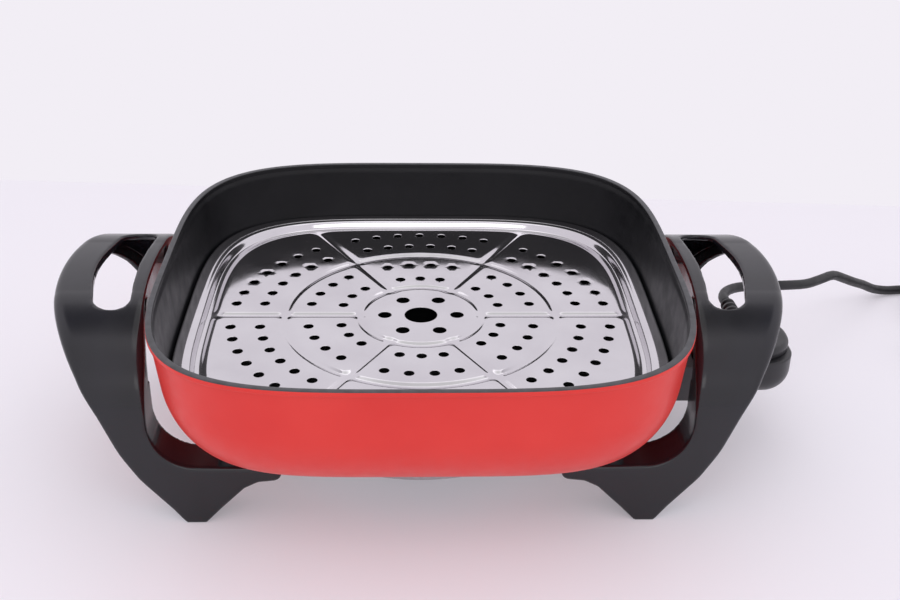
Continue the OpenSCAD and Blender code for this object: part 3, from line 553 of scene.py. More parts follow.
def tube(way, radius, sides):
    """Points and faces of a closed tube round a way, each ring square to it and none twisted."""
    along = np.gradient(way, axis=0)
    along /= np.linalg.norm(along, axis=1)[:, None]
    side = np.cross((0, 0, 1), along)
    side /= np.linalg.norm(side, axis=1)[:, None]
    over = np.cross(along, side)
    circle = ring_points((0, 0), 1, sides)
    rings = side[:, None] * circle[:, :1] + over[:, None] * circle[:, 1:]
    points = (way[:, None] + radius * rings).reshape(-1, 3)
    last = len(points) - sides
    faces = []
    for first in range(0, last, sides):
        faces += band(first + sides, first, sides)
    return points, [*faces, range(sides)[::-1], range(last, len(points))]


class SKILLET_OT_cord(bpy.types.Operator):
    """Lay the cord from the controller to its coil and plug"""

    bl_idname = "skillet.cord"
    bl_label = "Cord"

    def execute(self, context):
        sizes = sizes_mm("skillet_cord")
        way = cord_way(**sizes)
        sheath = cord_pvc()
        mesh = new_mesh("supply_cord", *tube(way, sizes["diameter"] / 2, CORD_SIDES), sheath)
        stood_for = ("cord", "cord_coil", "cord_tail")
        cord = new_piece("supply_cord", mesh, "controller", "cord_rubber", *stood_for)
        points = in_frame(way)
        dress(sheath, "plug_body", "coil_tie")
        return {"FINISHED"}


# ---- Pan ----

BASE_SQUARER = 1.3  # how much squarer the outline is at the base than at the rim
FLOOR_RINGS = (0, 0.35, 0.7, 0.9)  # shares of the floor's half width
# Depths of the rings up the wall, outside and inside, apart from those of the bottom curve
OUTER_RINGS = (27, 22, 17, 12, 8, 5, 3.8, 3.3)
INNER_RINGS = (4.5, 7, 11, 16, 21, 26)


def pan_shape():
    """The pan's sizes, and functions of depth: the outer wall's half width and squareness."""
    s = sizes_mm("skillet_pan")
    slope = math.tan(s["taper"])
    run, rise = s["curve_run"], s["depth"] - s["flat_wall"]
    start = math.atan(slope * rise / run)
    top = s["depth"] - rise + rise * math.sin(start)
    reach = top * slope + run * math.cos(start)

    def half(depth):
        under = max(0.0, 1 - ((depth - s["depth"] + rise) / rise) ** 2)
        inset = depth * slope if depth < top else reach - run * math.sqrt(under)
        return s["width"] / 2 - s["lip_step"] - inset

    def square(depth):
        return s["squareness"] + BASE_SQUARER * (depth / s["depth"]) ** 4

    return s, half, square


OUTSIDE, RIM, INSIDE = range(3)


def pan_section():
    """The pan's section, from the underside's middle over the rim to the middle of the floor:
    [half width, height, squareness, flutes, finish]."""
    s, half, square = pan_shape()
    depth, base, edge = s["depth"], s["base"], s["width"] / 2
    top, rise = s["lift"] + depth, depth - s["flat_wall"]

    def curve(bottom, *degrees):
        """Depths along the bottom curve of a wall that ends at this depth."""
        return [bottom - rise * (1 - math.sin(math.radians(a))) for a in range(*degrees)]

    def lip(start, *rows):
        """Points of the lip, each given by how far it lies inside the start and under the top."""
        return [(start - in_by, top - down, s["squareness"]) for in_by, down in rows]

    outer = [(half(depth) * part, s["lift"], square(depth)) for part in FLOOR_RINGS]
    depths = (*curve(depth, 90, 7, -3), *OUTER_RINGS)
    outer += [(half(d), top - d, square(d)) for d in depths]
    outer += lip(edge, (0.35, 3.15), (0.1, 2.95), (0, 2.6), (0, 0.8))
    rim = lip(edge, (0.12, 0.4), (0.35, 0.12), (0.7, 0), (1.8, 0), (s["rim"] - 0.7, 0))
    inner = lip(edge - s["rim"], (-0.25, 0.14), (0, 0.45), (0, 1.2), (0, 2.6), (0.05, 3.1))
    scale = depth / (depth - base)
    depths = (*INNER_RINGS, *curve(depth - base, 15, 91, 3))
    inner += [(half(d * scale) - s["wall"], top - d, square(d)) for d in depths]
    reach, *floor = inner[-1]
    inner += [(reach * part, *floor) for part in FLOOR_RINGS[::-1]]
    parts = ((OUTSIDE, outer), (RIM, rim), (INSIDE, inner))
    return [(*row, 0, finish) for finish, rows in parts for row in rows]


class SKILLET_OT_pan(bpy.types.Operator):
    """Build the cast pan: red outside, grey rim, black non-stick inside"""

    bl_idname = "skillet.pan"
    bl_label = "Pan"

    def execute(self, context):
        finishes = (enamel_red(), rim_grey(), nonstick_black())
        segments = context.scene.skillet_pan.segments
        mesh = turned("cast_pan", pan_section(), [(0, 0, 0)], finishes, segments)
        new_piece("cast_pan", mesh, "cooker", "red_enamel", "pan")
        lug = metal("Cast aluminium lug", "#A8A8AA", (0.4, 0.6), 0.8, 0.08)
        dress(lug, "leg_lugs", "grip_posts")
        return {"FINISHED"}


# ---- Steam tray ----

SECTORS = 6
# Rings of small holes: [radius, holes in a sector, degrees between them]
HOLE_RINGS = ((50.3, 3, 14.9), (70.1, 4, 12.0), (99.1, 6, 8.5), (116.8, 7, 7.5))
RING_HOLES_AT = 22.4
HOLE_SIDES = 24
ROLL = 0.55  # width of the rolled edge round each hole
GROOVE_RINGS = (37.6, 84.0)  # the radial grooves start from the first
GROOVE_FILLET, BORDER_FILLET = 4.0, 5.0
WALL_GAP = 0.3  # between the hem and the pan's wall
BORDER_WIDTH = 20
BORDER_SIDES = 480
# The border's inner wall: where it starts and ends outside the plateau, and its foot's height
BORDER_EDGE, BORDER_FOOT, BORDER_LOW = 0.2, 5.4, -1.65
# The border from the plateau's edge outward: [distance from the plateau's edge, height]
BORDER = (
    (-9.0, BORDER_LOW), (BORDER_FOOT, BORDER_LOW), (7.8, BORDER_LOW), (9.9, 3.1),
    (12.6, 3.2), (12.9, 3.7), (19.2, 3.15), (60.0, 3.15),
)
PRESS_ROUND, PROFILE_STEP = 0.5, 0.05  # how softly the press bends the border, and its grid
# Where the mesh has rings of points across the border, from the plateau's edge
BORDER_RINGS = (
    0.4, 1.0, 1.5, 2.0, 2.6, 3.2, 3.8, 4.4, 4.9, 5.4, 6.0, 6.7, 7.2, 7.6, 8.0, 8.4, 8.8, 9.2, 9.5,
    9.8, 10.1, 10.6, 11.5, 12.2, 12.5, 12.75, 13.0, 13.3, 14.5, 16.5, 18.5, 19.5,
)
# The hem turns down at the pan's wall: [height and distance from the border's last ring]
HEM = ((-0.35, 0.32), (-0.9, 0.48), (-2.4, 0.5), (-4.6, 0.5))
SHEET_EDGE = 1.5  # the border's rings start this far inside the plateau's edge
SHEET_HALF = 130
FINE_STEP, COARSE_STEP = 1.15, 3.6  # between points on and off the grooves' walls
WALL_NEAR = -0.3  # points are fine from here on down the walls, as a share of their height
CLEAR_EDGE, CLEAR_HOLE = 0.8, 0.6  # room between those points and the rings


def tray_frame():
    """The tray's sizes in millimetres, its level, its squareness and its plateau's half width."""
    s = sizes_mm("skillet_tray")
    pan, half, square = pan_shape()
    scale = pan["depth"] / (pan["depth"] - pan["base"])
    s["level"] = pan["lift"] + pan["depth"] - s["drop"]
    s["square"] = square(s["drop"])
    s["plateau"] = half((s["drop"] + 2) * scale) - pan["wall"] - WALL_GAP - BORDER_WIDTH
    return s


def border_profile():
    """Height along the border, its corners rounded as a press leaves them."""
    away = np.arange(-9, 40, PROFILE_STEP)
    flat = np.interp(away, *zip(*BORDER))
    reach = np.arange(-3 * PRESS_ROUND, 3 * PRESS_ROUND + 0.01, PROFILE_STEP)
    bell = np.exp(-((reach / PRESS_ROUND) ** 2))
    return away, np.convolve(np.pad(flat, len(reach) // 2, "edge"), bell / bell.sum(), "valid")


def level_of(x, y, squareness):
    """Half width of the rounded square that passes through each point."""
    return (np.abs(x) ** squareness + np.abs(y) ** squareness) ** (1 / squareness)


def blended(a, b, reach):
    """The smaller of two distances, with a fillet of about reach where they meet."""
    share = np.clip(0.5 + 0.5 * (b - a) / reach, 0, 1)
    return b + (a - b) * share - reach * share * (1 - share)


def groove_distance(x, y):
    """Distance to the nearest groove's middle, filleted where grooves meet."""
    radius, start = np.hypot(x, y), GROOVE_RINGS[0]
    near = reduce(np.minimum, [np.abs(radius - ring) for ring in GROOVE_RINGS])
    rays = []
    for k in range(SECTORS):
        a = TAU * k / SECTORS
        along, across = x * math.cos(a) + y * math.sin(a), np.abs(y * math.cos(a) - x * math.sin(a))
        rays.append(np.where(along > start, across, np.hypot(across, along - start)))
    return blended(near, reduce(np.minimum, rays), GROOVE_FILLET)


def low_share(x, y, s):
    """Distance beyond the plateau's edge, and how far each point lies down the walls of the
    grooves and the border, 1 at their foot."""
    half_groove = s["groove_width"] / 2
    beyond = level_of(x, y, s["square"]) - s["plateau"]
    to_border = (BORDER_FOOT - beyond) * half_groove / (BORDER_FOOT - BORDER_EDGE)
    away = blended(groove_distance(x, y), to_border, BORDER_FILLET)
    return beyond, 1 - away / half_groove


def tray_height(x, y, s):
    """Height of the tray's upper face above its plateau."""
    beyond, share = low_share(x, y, s)
    depth = s["groove"] + (-BORDER_LOW - s["groove"]) * np.clip(beyond / BORDER_FOOT, 0, 1)
    pressed = -depth * 0.5 * (1 - np.cos(math.pi * np.clip(share, 0, 1)))
    return np.where(beyond < BORDER_FOOT, pressed, np.interp(beyond, *border_profile()))


def hole_list(s):
    """Middles and diameters of the tray's holes."""
    holes = [(0.0, 0.0, s["middle_hole"])]
    for k in range(SECTORS):
        a = TAU * k / SECTORS
        spots = [(RING_HOLES_AT, a, s["ring_hole"])]
        for radius, count, step in HOLE_RINGS:
            for j in range(count):
                b = a + TAU / 12 + math.radians((j - (count - 1) / 2) * step)
                spots.append((radius, b, s["hole"]))
        holes += [(r * math.cos(b), r * math.sin(b), diameter) for r, b, diameter in spots]
    return np.array(holes)


def tray_sheet(s, holes):
    """Points and faces of the sheet's upper face, with an open ring where each hole's rim goes."""
    square, inner = s["square"], s["plateau"] - SHEET_EDGE
    spots = []
    for step in (FINE_STEP, COARSE_STEP):
        columns = np.arange(-SHEET_HALF, SHEET_HALF, step)
        x, y = np.meshgrid(columns, np.arange(-SHEET_HALF, SHEET_HALF, step * math.sqrt(3) / 2))
        x += (np.arange(len(x)) % 2)[:, None] * step / 2
        grid = np.column_stack([x.ravel(), y.ravel()])
        near = low_share(*grid.T, s)[1] > WALL_NEAR
        spots.append(grid[near == (step == FINE_STEP)])
    spots = np.vstack(spots)
    keep = level_of(*spots.T, square) < inner - CLEAR_EDGE
    for *middle, diameter in holes:
        keep &= np.hypot(*(spots - middle).T) > diameter / 2 + ROLL + CLEAR_HOLE
    spots = spots[keep]
    outline = ring_points((0, 0), 1, BORDER_SIDES)
    outline /= level_of(*outline.T, square)[:, None]
    loops = [outline * inner]
    loops += [ring_points(middle, d / 2 + ROLL, HOLE_SIDES) for *middle, d in holes]
    edges, start = [], len(spots)
    for loop in loops:
        edges += [(start + i, start + (i + 1) % len(loop)) for i in range(len(loop))]
        start += len(loop)
    spots = [Vector(spot) for spot in np.vstack([spots, *loops]).tolist()]
    found = delaunay_2d_cdt(spots, edges, [], 0, 1e-4)
    flat, faces = np.array([tuple(spot) for spot in found[0]]), np.array(found[2])
    centres = flat[faces].mean(axis=1)
    keep = level_of(*centres.T, square) < inner
    for *middle, diameter in holes:
        keep &= np.hypot(*(centres - middle).T) > (diameter / 2 + ROLL) * 0.98
    faces = faces[keep]
    a, b, c = flat[faces].transpose(1, 0, 2)
    downward = np.cross(b - a, c - a) < 0
    faces[downward] = faces[downward][:, ::-1]
    # The border goes on outward in rings from the same outline
    rings = [outline * inner] + [outline * (s["plateau"] + away) for away in BORDER_RINGS]
    spots = np.vstack([flat, *rings])
    points = np.column_stack([spots, tray_height(*spots.T, s)])
    rim = points[-BORDER_SIDES:, 2]
    hem = [
        np.column_stack([outline * (s["plateau"] + BORDER_RINGS[-1] + away), rim + drop])
        for drop, away in HEM
    ]
    points, faces = np.vstack([points, *hem]), faces.tolist()
    for first in range(len(flat), len(points) - BORDER_SIDES, BORDER_SIDES):
        faces += band(first, first + BORDER_SIDES, BORDER_SIDES)
    return points, faces


class SKILLET_OT_tray(bpy.types.Operator):
    """Press the steam tray from one sheet, with its grooves, border and perforations"""

    bl_idname = "skillet.tray"
    bl_label = "Steam tray"

    def execute(self, context):
        s = tray_frame()
        steel, holes, level = stainless_polished(), hole_list(s), s["level"]
        points, faces = tray_sheet(s, holes)
        points[:, 2] += level
        meshes = [new_mesh("tray_sheet", points, faces, steel)]
        for diameter in np.unique(holes[:, 2]):
            places = [(x, y, level) for x, y, d in holes if d == diameter]
            roll = [
                (diameter / 2 + ROLL * (1 - math.sin(a)), ROLL * (math.cos(a) - 1))
                for a in np.radians((0, 22, 45, 67, 90))
            ]
            meshes.append(turned("hole_edges", roll, places, [steel], HOLE_SIDES))
        work = bmesh.new()
        for mesh in meshes:
            work.from_mesh(mesh)
        bmesh.ops.remove_doubles(work, verts=work.verts, dist=0.02 * MM)
        mesh = mesh_of("pressed_tray", work, steel)
        tray = new_piece("pressed_tray", mesh, "tray", "tray_steel", "steam_tray")
        sheet = tray.modifiers.new("sheet", "SOLIDIFY")
        sheet.thickness, sheet.offset = s["sheet"] * MM, -1
        return {"FINISHED"}


# ---- Moulded shells ----
# A moulding is the meeting of a few outlines, each a distance that is negative inside. The
# surface is then found on a grid and drawn onto the exact shape, which rounds every edge.


CORNER_STEP = 6  # degrees


def round_corner(a, b, c, radius):
    """Points of the corner a-b-c, rounded."""
    before, after = np.linalg.norm(b - a), np.linalg.norm(c - b)
    u, v = (b - a) / before, (c - b) / after
    side = 1 if u[0] * v[1] - u[1] * v[0] > 0 else -1
    turn = math.acos(min(1, float(u @ v)))
    if radius < 0.2 or turn < math.radians(1):
        return [b]
    reach = min(radius * math.tan(turn / 2), before / 2.05, after / 2.05)
    radius = reach / math.tan(turn / 2)
    start = b - u * reach
    centre = start + side * radius * np.array((-u[1], u[0]))
    x, y = start - centre
    steps = max(2, math.ceil(math.degrees(turn) / CORNER_STEP))
    turns = [(math.cos(t), math.sin(t)) for t in side * turn * np.arange(steps + 1) / steps]
    return [centre + (x * cos - y * sin, x * sin + y * cos) for cos, sin in turns]


class Outline:
    """A closed outline through corners [x, y, radius], and the distance from it."""

    PITCH, MARGIN = 0.4, 12  # of the table of distances, and how far it goes past the outline

    def __init__(self, *corners):
        spots = [np.array(c[:2], float) for c in corners]
        following = spots[1:] + spots[:1]
        points = []
        for i, corner in enumerate(corners):
            points += round_corner(spots[i - 1], spots[i], following[i], corner[2])
        points = np.array(points)
        self.low = points.min(axis=0) - self.MARGIN
        counts = np.ceil((points.max(axis=0) + self.MARGIN - self.low) / self.PITCH).astype(int) + 1
        xs, ys = (self.low[k] + self.PITCH * np.arange(counts[k]) for k in (0, 1))
        x, y = np.meshgrid(xs, ys, indexing="ij")
        nearest = np.full(x.shape, np.inf)
        inside = np.zeros(x.shape, bool)
        for a, b in zip(points, np.roll(points, -1, axis=0)):
            along = b - a
            part = ((x - a[0]) * along[0] + (y - a[1]) * along[1]) / (along @ along)
            part = np.clip(part, 0, 1)
            dx, dy = x - a[0] - part * along[0], y - a[1] - part * along[1]
            nearest = np.minimum(nearest, dx * dx + dy * dy)
            spans = (a[1] > y) != (b[1] > y)
            if a[1] != b[1]:
                inside ^= spans & (x < a[0] + (y - a[1]) * along[0] / along[1])
        self.table = np.where(inside, -1, 1) * np.sqrt(nearest)

    def __call__(self, x, y):
        table = self.table
        u = np.clip((x - self.low[0]) / self.PITCH, 0, table.shape[0] - 1.001)
        v = np.clip((y - self.low[1]) / self.PITCH, 0, table.shape[1] - 1.001)
        i, j = u.astype(int), v.astype(int)
        s, t = u - i, v - j
        near = table[i, j] * (1 - s) + table[i + 1, j] * s
        far = table[i, j + 1] * (1 - s) + table[i + 1, j + 1] * s
        return near * (1 - t) + far * t


def overlap(*shapes):
    return reduce(np.maximum, shapes)


def cut(body, *shapes):
    """A body less what lies in all the shapes."""
    return np.maximum(body, -overlap(*shapes))


def meet(radius, *shapes):
    """Where all the shapes overlap, the edges between them rounded to a radius."""
    total = sum(np.maximum(shape + radius, 0) ** 2 for shape in shapes)
    return np.minimum(overlap(*shapes), -radius) + np.sqrt(total)


def slab(value, low, high):
    return np.maximum(low - value, value - high)


def net_surface(shape, low, high, step):
    """Points and faces of the surface where shape(x, y, z) is zero, on a grid of this step."""
    counts = [math.ceil((b - a) / step) + 1 for a, b in zip(low, high)]
    field = shape(*np.ix_(*(low[k] + step * np.arange(counts[k]) for k in range(3))))
    cells = np.array(counts) - 1
    total = int(np.prod(cells))
    sums, hits, edges = np.zeros((3, total)), np.zeros(total), []
    for axis in range(3):
        u, v = (axis + 1) % 3, (axis + 2) % 3
        first = np.take(field, range(counts[axis] - 1), axis)
        second = np.take(field, range(1, counts[axis]), axis)
        spot = np.argwhere((first < 0) != (second < 0))
        a, b = first[tuple(spot.T)], second[tuple(spot.T)]
        place = spot.astype(float)
        place[:, axis] += a / (a - b)
        around = []
        for du, dv in ((-1, -1), (0, -1), (0, 0), (-1, 0)):
            cell = spot.copy()
            cell[:, u] += du
            cell[:, v] += dv
            index = np.ravel_multi_index(tuple(cell.T), tuple(cells))
            around.append(index)
            hits += np.bincount(index, minlength=total)
            for k in range(3):
                sums[k] += np.bincount(index, place[:, k], total)
        quads = np.array(around).T
        outward = a < 0
        edges += [quads[outward], quads[~outward][:, ::-1]]
    used = np.flatnonzero(hits)
    points = (sums[:, used] / hits[used]).T * step + low
    number = np.zeros(total, int)
    number[used] = np.arange(len(used))
    # Draw the points onto the exact surface along its slope
    reach = 0.3 * step
    for _ in range(3):
        value = shape(*points.T)
        ends = [(shape(*(points + e).T), shape(*(points - e).T)) for e in np.eye(3) * reach]
        slope = np.column_stack([ahead - behind for ahead, behind in ends]) / (2 * reach)
        steep = np.maximum((slope**2).sum(axis=1), 0.3)
        points -= np.clip(value / steep, -0.5 * step, 0.5 * step)[:, None] * slope
    return points, number[np.vstack(edges)].tolist()


# ---- Handle mouldings ----

SPLAY = math.radians(3.3)  # slope of the legs' sides
LEG_SPREAD = 4  # how far the splay takes them at the tabs
OUTER_BOW, INNER_BOW = 160, 400  # radii of the grip's outer and inner side, seen from above
BRIDGE_ROUND, BRIDGE_THICK = 27, 16  # radius under the grip, and the grip's height over it
STRIP_GAP, STRIP_WIDTH = 7, 9  # from the pan's rim to the grip, and on to the finger opening
BOSS_IN, BOSS_OUT = 44.5, 11  # the leg screws' place, from the pan's rim and from the bridge
TAB_DOWN, TAB_REACH = 6, 29.5  # the tabs, under the pan's base and in from the leg screws
POST_ROUND, POST_DOWN, POST_OUT = 6, 11, 3  # posts of the handle screws: radius and place
SCREW_HOLE, POST_SEAT, LEG_SEAT = 2.0, 4.3, 4.5  # radii
FOOT_ROUND, INNER_ROUND, HOLE_ROUND, UNDER_ROUND = 0.9, 1.4, 1.2, 0.7  # of the edges
COLLAR, COLLAR_WALL = 6.0, 2.2  # depth and thickness of the wall round the finger opening
SOLID_FOOT, SOLID_TAB = 7, 12  # not hollow: the feet up to here, the tabs from here in
POST_BACK, BORE_BACK, BORE_LONG = 2.5, 4, 12  # the posts and their bores, in and out from the grip
GRIP_DEEP, GRIP_OUT = 40, 20  # the grip's inner side ends this far down and out, where the legs go in
SOFT_FROM, SOFT_UNDER, FOOT_EDGE = 70, 5, 9  # heights between which the edges' rounding changes
CROWN = 1.2  # how much higher the middle of the grip is than its shoulders
HANDLE_STEP, HANDLE_ROOM = 1.25, 2.1  # the grid's step, and how far it reaches past the moulding


def moulding_shape():
    """The right-hand moulding as a distance, in millimetres from the pan's middle."""
    h, pan = sizes_mm("skillet_handles"), sizes_mm("skillet_pan")
    low, high = cad_box("right_handle_leg")
    side, top, wall, shoulder = pan["width"] / 2, high[2], h["wall"], h["shoulder"]
    strip = side + STRIP_GAP
    edge = strip + h["grip_width"]
    tab_top = pan["lift"] - TAB_DOWN
    shoulder_y, shoulder_z = h["grip_flat"] / 2, top - shoulder
    bridge_half = shoulder_y + shoulder * math.cos(SPLAY) + LEG_SPREAD - h["leg_depth"]
    boss = (side - BOSS_IN, bridge_half + BOSS_OUT)
    tab = boss[0] - TAB_REACH
    # Seen from the front, from under the pan up the leg's outer side, over the grip and down
    front = Outline(
        (side - 29.5, 0, 0), (side - 18, 0, 0), (side + 7, 0.235 * top, 40),
        (side + 17.5, 0.376 * top, 60), (side + 27.5, 0.579 * top, 60),
        (edge - 24, 0.744 * top, 30), (edge + 12, top + 9, 0), (strip - 6, top + 9, 0),
        (side, tab_top, 27), (tab, tab_top, 3), (tab, tab_top - 9, 5),
        (tab + 13.5, tab_top - 10.5, 4), (tab + 21.5, tab_top - 14.5, 3),
    )
    inner, half = strip + STRIP_WIDTH, h["finger_length"] / 2
    outer = inner + h["finger_width"]
    opening = Outline(
        (inner - 4, -half, 11), (outer - 8, -half, 13), (outer + 2.2, 0, 115),
        (outer - 8, half, 13), (inner - 4, half, 11), (inner + 1, 0, 280),
    )
    post_y, post_z = shoulder_y + POST_OUT, top - POST_DOWN
    seat = strip + wall - 1

    def shape(x, y, z):
        y = np.abs(y)
        across, up = y - shoulder_y, z - shoulder_z
        slant = across * math.cos(SPLAY) + up * math.sin(SPLAY)
        arch = np.where(up > across * math.tan(SPLAY), np.hypot(across, up), slant)
        arch = np.where(across < 0, up + CROWN * (1 + across / shoulder_y) ** 2, arch + CROWN)
        arch = arch - shoulder
        bridge = meet(BRIDGE_ROUND, y - bridge_half, z - top + BRIDGE_THICK)
        profile = front(x, z)
        outside = np.hypot(x - edge + OUTER_BOW, y) - OUTER_BOW
        inside = INNER_BOW - np.hypot(x - strip + INNER_BOW, y)
        inside = np.minimum(inside, overlap(x - strip - GRIP_OUT, z - top + GRIP_DEEP))
        # The edges' rounding grows up the legs to the grip, and is least at the feet
        soft = np.clip((z - SOFT_FROM) / (top - SOFT_UNDER - SOFT_FROM), 0, 1)
        soft = h["round_low"] + (h["round_top"] - h["round_low"]) * soft * soft * (3 - 2 * soft)
        soft = soft - (h["round_low"] - FOOT_ROUND) * np.clip(1 - z / FOOT_EDGE, 0, 1)
        body = meet(soft, arch, profile, outside)
        body = meet(INNER_ROUND, body, inside)
        body = meet(UNDER_ROUND, body, -bridge)
        hollow = [distance + wall for distance in (arch, profile, outside, inside)]
        finger = opening(x, y)
        collar = overlap(finger - COLLAR_WALL, top - COLLAR - z)
        body = cut(body, *hollow, boss[0] - SOLID_TAB - x, SOLID_FOOT - z, -collar)
        post = np.hypot(y - post_y, z - post_z)
        body = np.minimum(body, overlap(post - POST_ROUND, slab(x, strip - POST_BACK, seat)))
        body = meet(HOLE_ROUND, body, -overlap(finger, top - GRIP_DEEP - z))
        body = cut(body, post - SCREW_HOLE, slab(x, strip - BORE_BACK, strip + BORE_LONG))
        body = cut(body, post - POST_SEAT, slab(x, seat, seat + BORE_LONG))
        leg_screw = np.hypot(x - boss[0], y - boss[1])
        body = cut(body, leg_screw - SCREW_HOLE, z - pan["lift"])
        return cut(body, leg_screw - LEG_SEAT, z - tab_top + wall)

    return shape, low - HANDLE_ROOM, high + HANDLE_ROOM


class SKILLET_OT_handles(bpy.types.Operator):
    """Mould the two bridges, each a grip with a finger opening and a leg at both ends"""

    bl_idname = "skillet.handles"
    bl_label = "Handles and legs"

    def execute(self, context):
        points, faces = net_surface(*moulding_shape(), HANDLE_STEP)
        phenolic = phenolic_black()
        mirrored = (points * (-1, 1, 1), [face[::-1] for face in faces])
        for side, surface in (("right", (points, faces)), ("left", mirrored)):
            name = side + "_moulding"
            mesh = new_mesh(name, *surface, phenolic)
            new_piece(name, mesh, "cooker", "black_moulding", side + "_handle_leg")
        return {"FINISHED"}


# ---- Controller ----

COVER_STEP, COVER_ROOM = 0.8, 1.7  # the grid's step, and how far it reaches past the covers
PIN_UP = 11.5  # from the lower cover's underside to the pins
PROBE_BORE, DIAL_BORE, LENS_BORE = 3.5, 3.06, 2.5  # radii
POST_FOOT, COVER_SCREW, COVER_SEAT = 3.7, 1.65, 3  # radii of the screw posts and their bores
FOOT_UP, SCREW_UP, SEAT_UP = 6, 7, 3  # heights that they reach
TONGUE_HALF, TONGUE_UP = 25.6, 9.6  # half width and half height of the end that goes in the socket
RELIEF_BORE, RELIEF_GROOVE = 6.1, 8.1  # radii of the strain relief's hole and its flange's groove
BORE_DEEP, GROOVE_WIDTH = 5, 2.1  # how deep the hole is, and how wide the groove
EDGE_SOFT, TONGUE_SOFT, PARTING_SOFT = 0.5, 0.8, 0.3  # rounding of the covers' edges


def cover_shapes():
    """The lower and the upper cover as distances, with their boxes."""
    c = sizes_mm("skillet_controller")
    low, high = cad_box("controller_lower_cover")
    upper_low, upper_high = cad_box("controller_upper_cover")
    wall, turn, upper_turn = c["wall"], c["end_round"], c["upper_round"]
    (nose, _, bottom), (end, half, parting) = low, high
    tip, inside, top = upper_high[0], half - c["step_in"], upper_high[2]
    back, start = upper_low[0], upper_low[0] - 0.5
    plan, sides = (
        Outline((x, -half, 4), (end, -half, turn), (end, half, turn), (x, half, 4))
        for x in (start, nose - 40)
    )
    upper_plan = Outline(
        (back, -inside, 4), (tip, -inside, upper_turn), (tip, inside, upper_turn), (back, inside, 4)
    )
    pin_z = bottom + PIN_UP
    sleeve_low, sleeve_high = cad_box("contact_sleeves")
    sleeve_r = (sleeve_high[2] - sleeve_low[2]) / 2
    sleeve_y = sleeve_high[1] - sleeve_r
    relief, dial, lens = (
        sum(cad_box(name)) / 2 for name in ("strain_relief", "temperature_dial", "indicator_lens")
    )
    # The screw posts: [place along the cover, distance to both sides of its middle]
    posts = ((start + 6.5, 7.1), (end - 11.5, 8.0))
    seat = half - wall - GROOVE_WIDTH

    def bowl(x, y, z, depth):
        """The lower cover's outside, or its inside at a wall's depth."""
        body = meet(c["bowl"] - depth, bottom + depth - z, sides(x, y) + depth)
        return np.maximum(body, plan(x, y) + depth)

    def lower(x, y, z):
        body = bowl(x, y, z, 0)
        post_distances = [np.hypot(x - a, np.abs(y) - b) for a, b in posts]
        feet = [overlap(post - POST_FOOT, z - bottom - FOOT_UP) for post in post_distances]
        ledge = np.minimum(z - parting + wall, upper_plan(x, y) + wall)
        body = cut(body, bowl(x, y, z, wall), -reduce(np.minimum, feet), ledge)
        tongue = meet(
            TONGUE_SOFT,
            np.abs(y) - TONGUE_HALF,
            slab(z, pin_z - TONGUE_UP, pin_z + TONGUE_UP),
            slab(x, nose, start + wall),
            meet(c["bowl"], bottom - z, np.abs(y) - half),
        )
        body = meet(EDGE_SOFT, np.minimum(body, tongue), z - parting)
        sleeve_bore = np.hypot(np.abs(y) - sleeve_y, z - pin_z) - sleeve_r
        bore = np.minimum(np.hypot(y, z - pin_z) - PROBE_BORE, sleeve_bore)
        body = cut(body, bore, x - start - wall - 1)
        away = np.hypot(x - relief[0], z - relief[2])
        body = cut(body, away - RELIEF_BORE, half - BORE_DEEP - y)
        body = cut(body, away - RELIEF_GROOVE, slab(y, seat, seat + GROOVE_WIDTH))
        for post in post_distances:
            body = cut(body, post - COVER_SEAT, z - bottom - SEAT_UP)
            body = cut(body, post - COVER_SCREW, z - bottom - SCREW_UP)
        return body

    def upper(x, y, z):
        flat = upper_plan(x, y)
        inner = meet(TONGUE_SOFT, flat + wall, z - top + wall)
        body = cut(meet(c["round_top"], flat, z - top), inner)
        body = meet(PARTING_SOFT, body, parting - z)
        for middle, radius in ((dial, DIAL_BORE), (lens, LENS_BORE)):
            body = cut(body, np.hypot(x - middle[0], y - middle[1]) - radius)
        return body

    upper_low[2] = parting
    return (lower, low, high), (upper, upper_low, upper_high)


class SKILLET_OT_covers(bpy.types.Operator):
    """Mould the controller's lower and upper covers"""

    bl_idname = "skillet.covers"
    bl_label = "Controller covers"

    def execute(self, context):
        plastic = abs_black()
        for name, (shape, low, high) in zip(("lower_cover", "upper_cover"), cover_shapes()):
            surface = net_surface(shape, low - COVER_ROOM, high + COVER_ROOM, COVER_STEP)
            mesh = new_mesh(name, *surface, plastic)
            new_piece(name, mesh, "controller", "controller_plastic", "controller_" + name)
        return {"FINISHED"}


DIAL_SHAFT, DIAL_COVER = 3.0, 3  # the shaft's radius, and the dial's thickness over it
# The dial's lower edge: [distance inside its side, height, share of the flutes]
DIAL_FOOT = ((0.9, 0, 0.6), (0.3, 0.2, 1), (0, 0.7, 1), (0, 1.6, 1))
# The dial's upper edge: [distance inside its side, distance under its top, share of the flutes]
DIAL_EDGE = (
    (0, 3.6, 1), (0.1, 2.2, 1), (0.6, 1.1, 1), (1.5, 0.35, 0.5), (2.6, 0, 0), (4.6, 0, 0),
    (5.2, 0.2, 0), (6.2, 0.9, 0), (7, 1.1, 0), (12, 1.1, 0),
)
# The pointer bar: from the middle, to the edge, its height, its width and its edges' bevel
POINTER_START, POINTER_END, POINTER_DOWN = 2.15, 3.35, 1
POINTER_THICK, POINTER_WIDE, POINTER_SOFT = 1.4, 2, 0.35


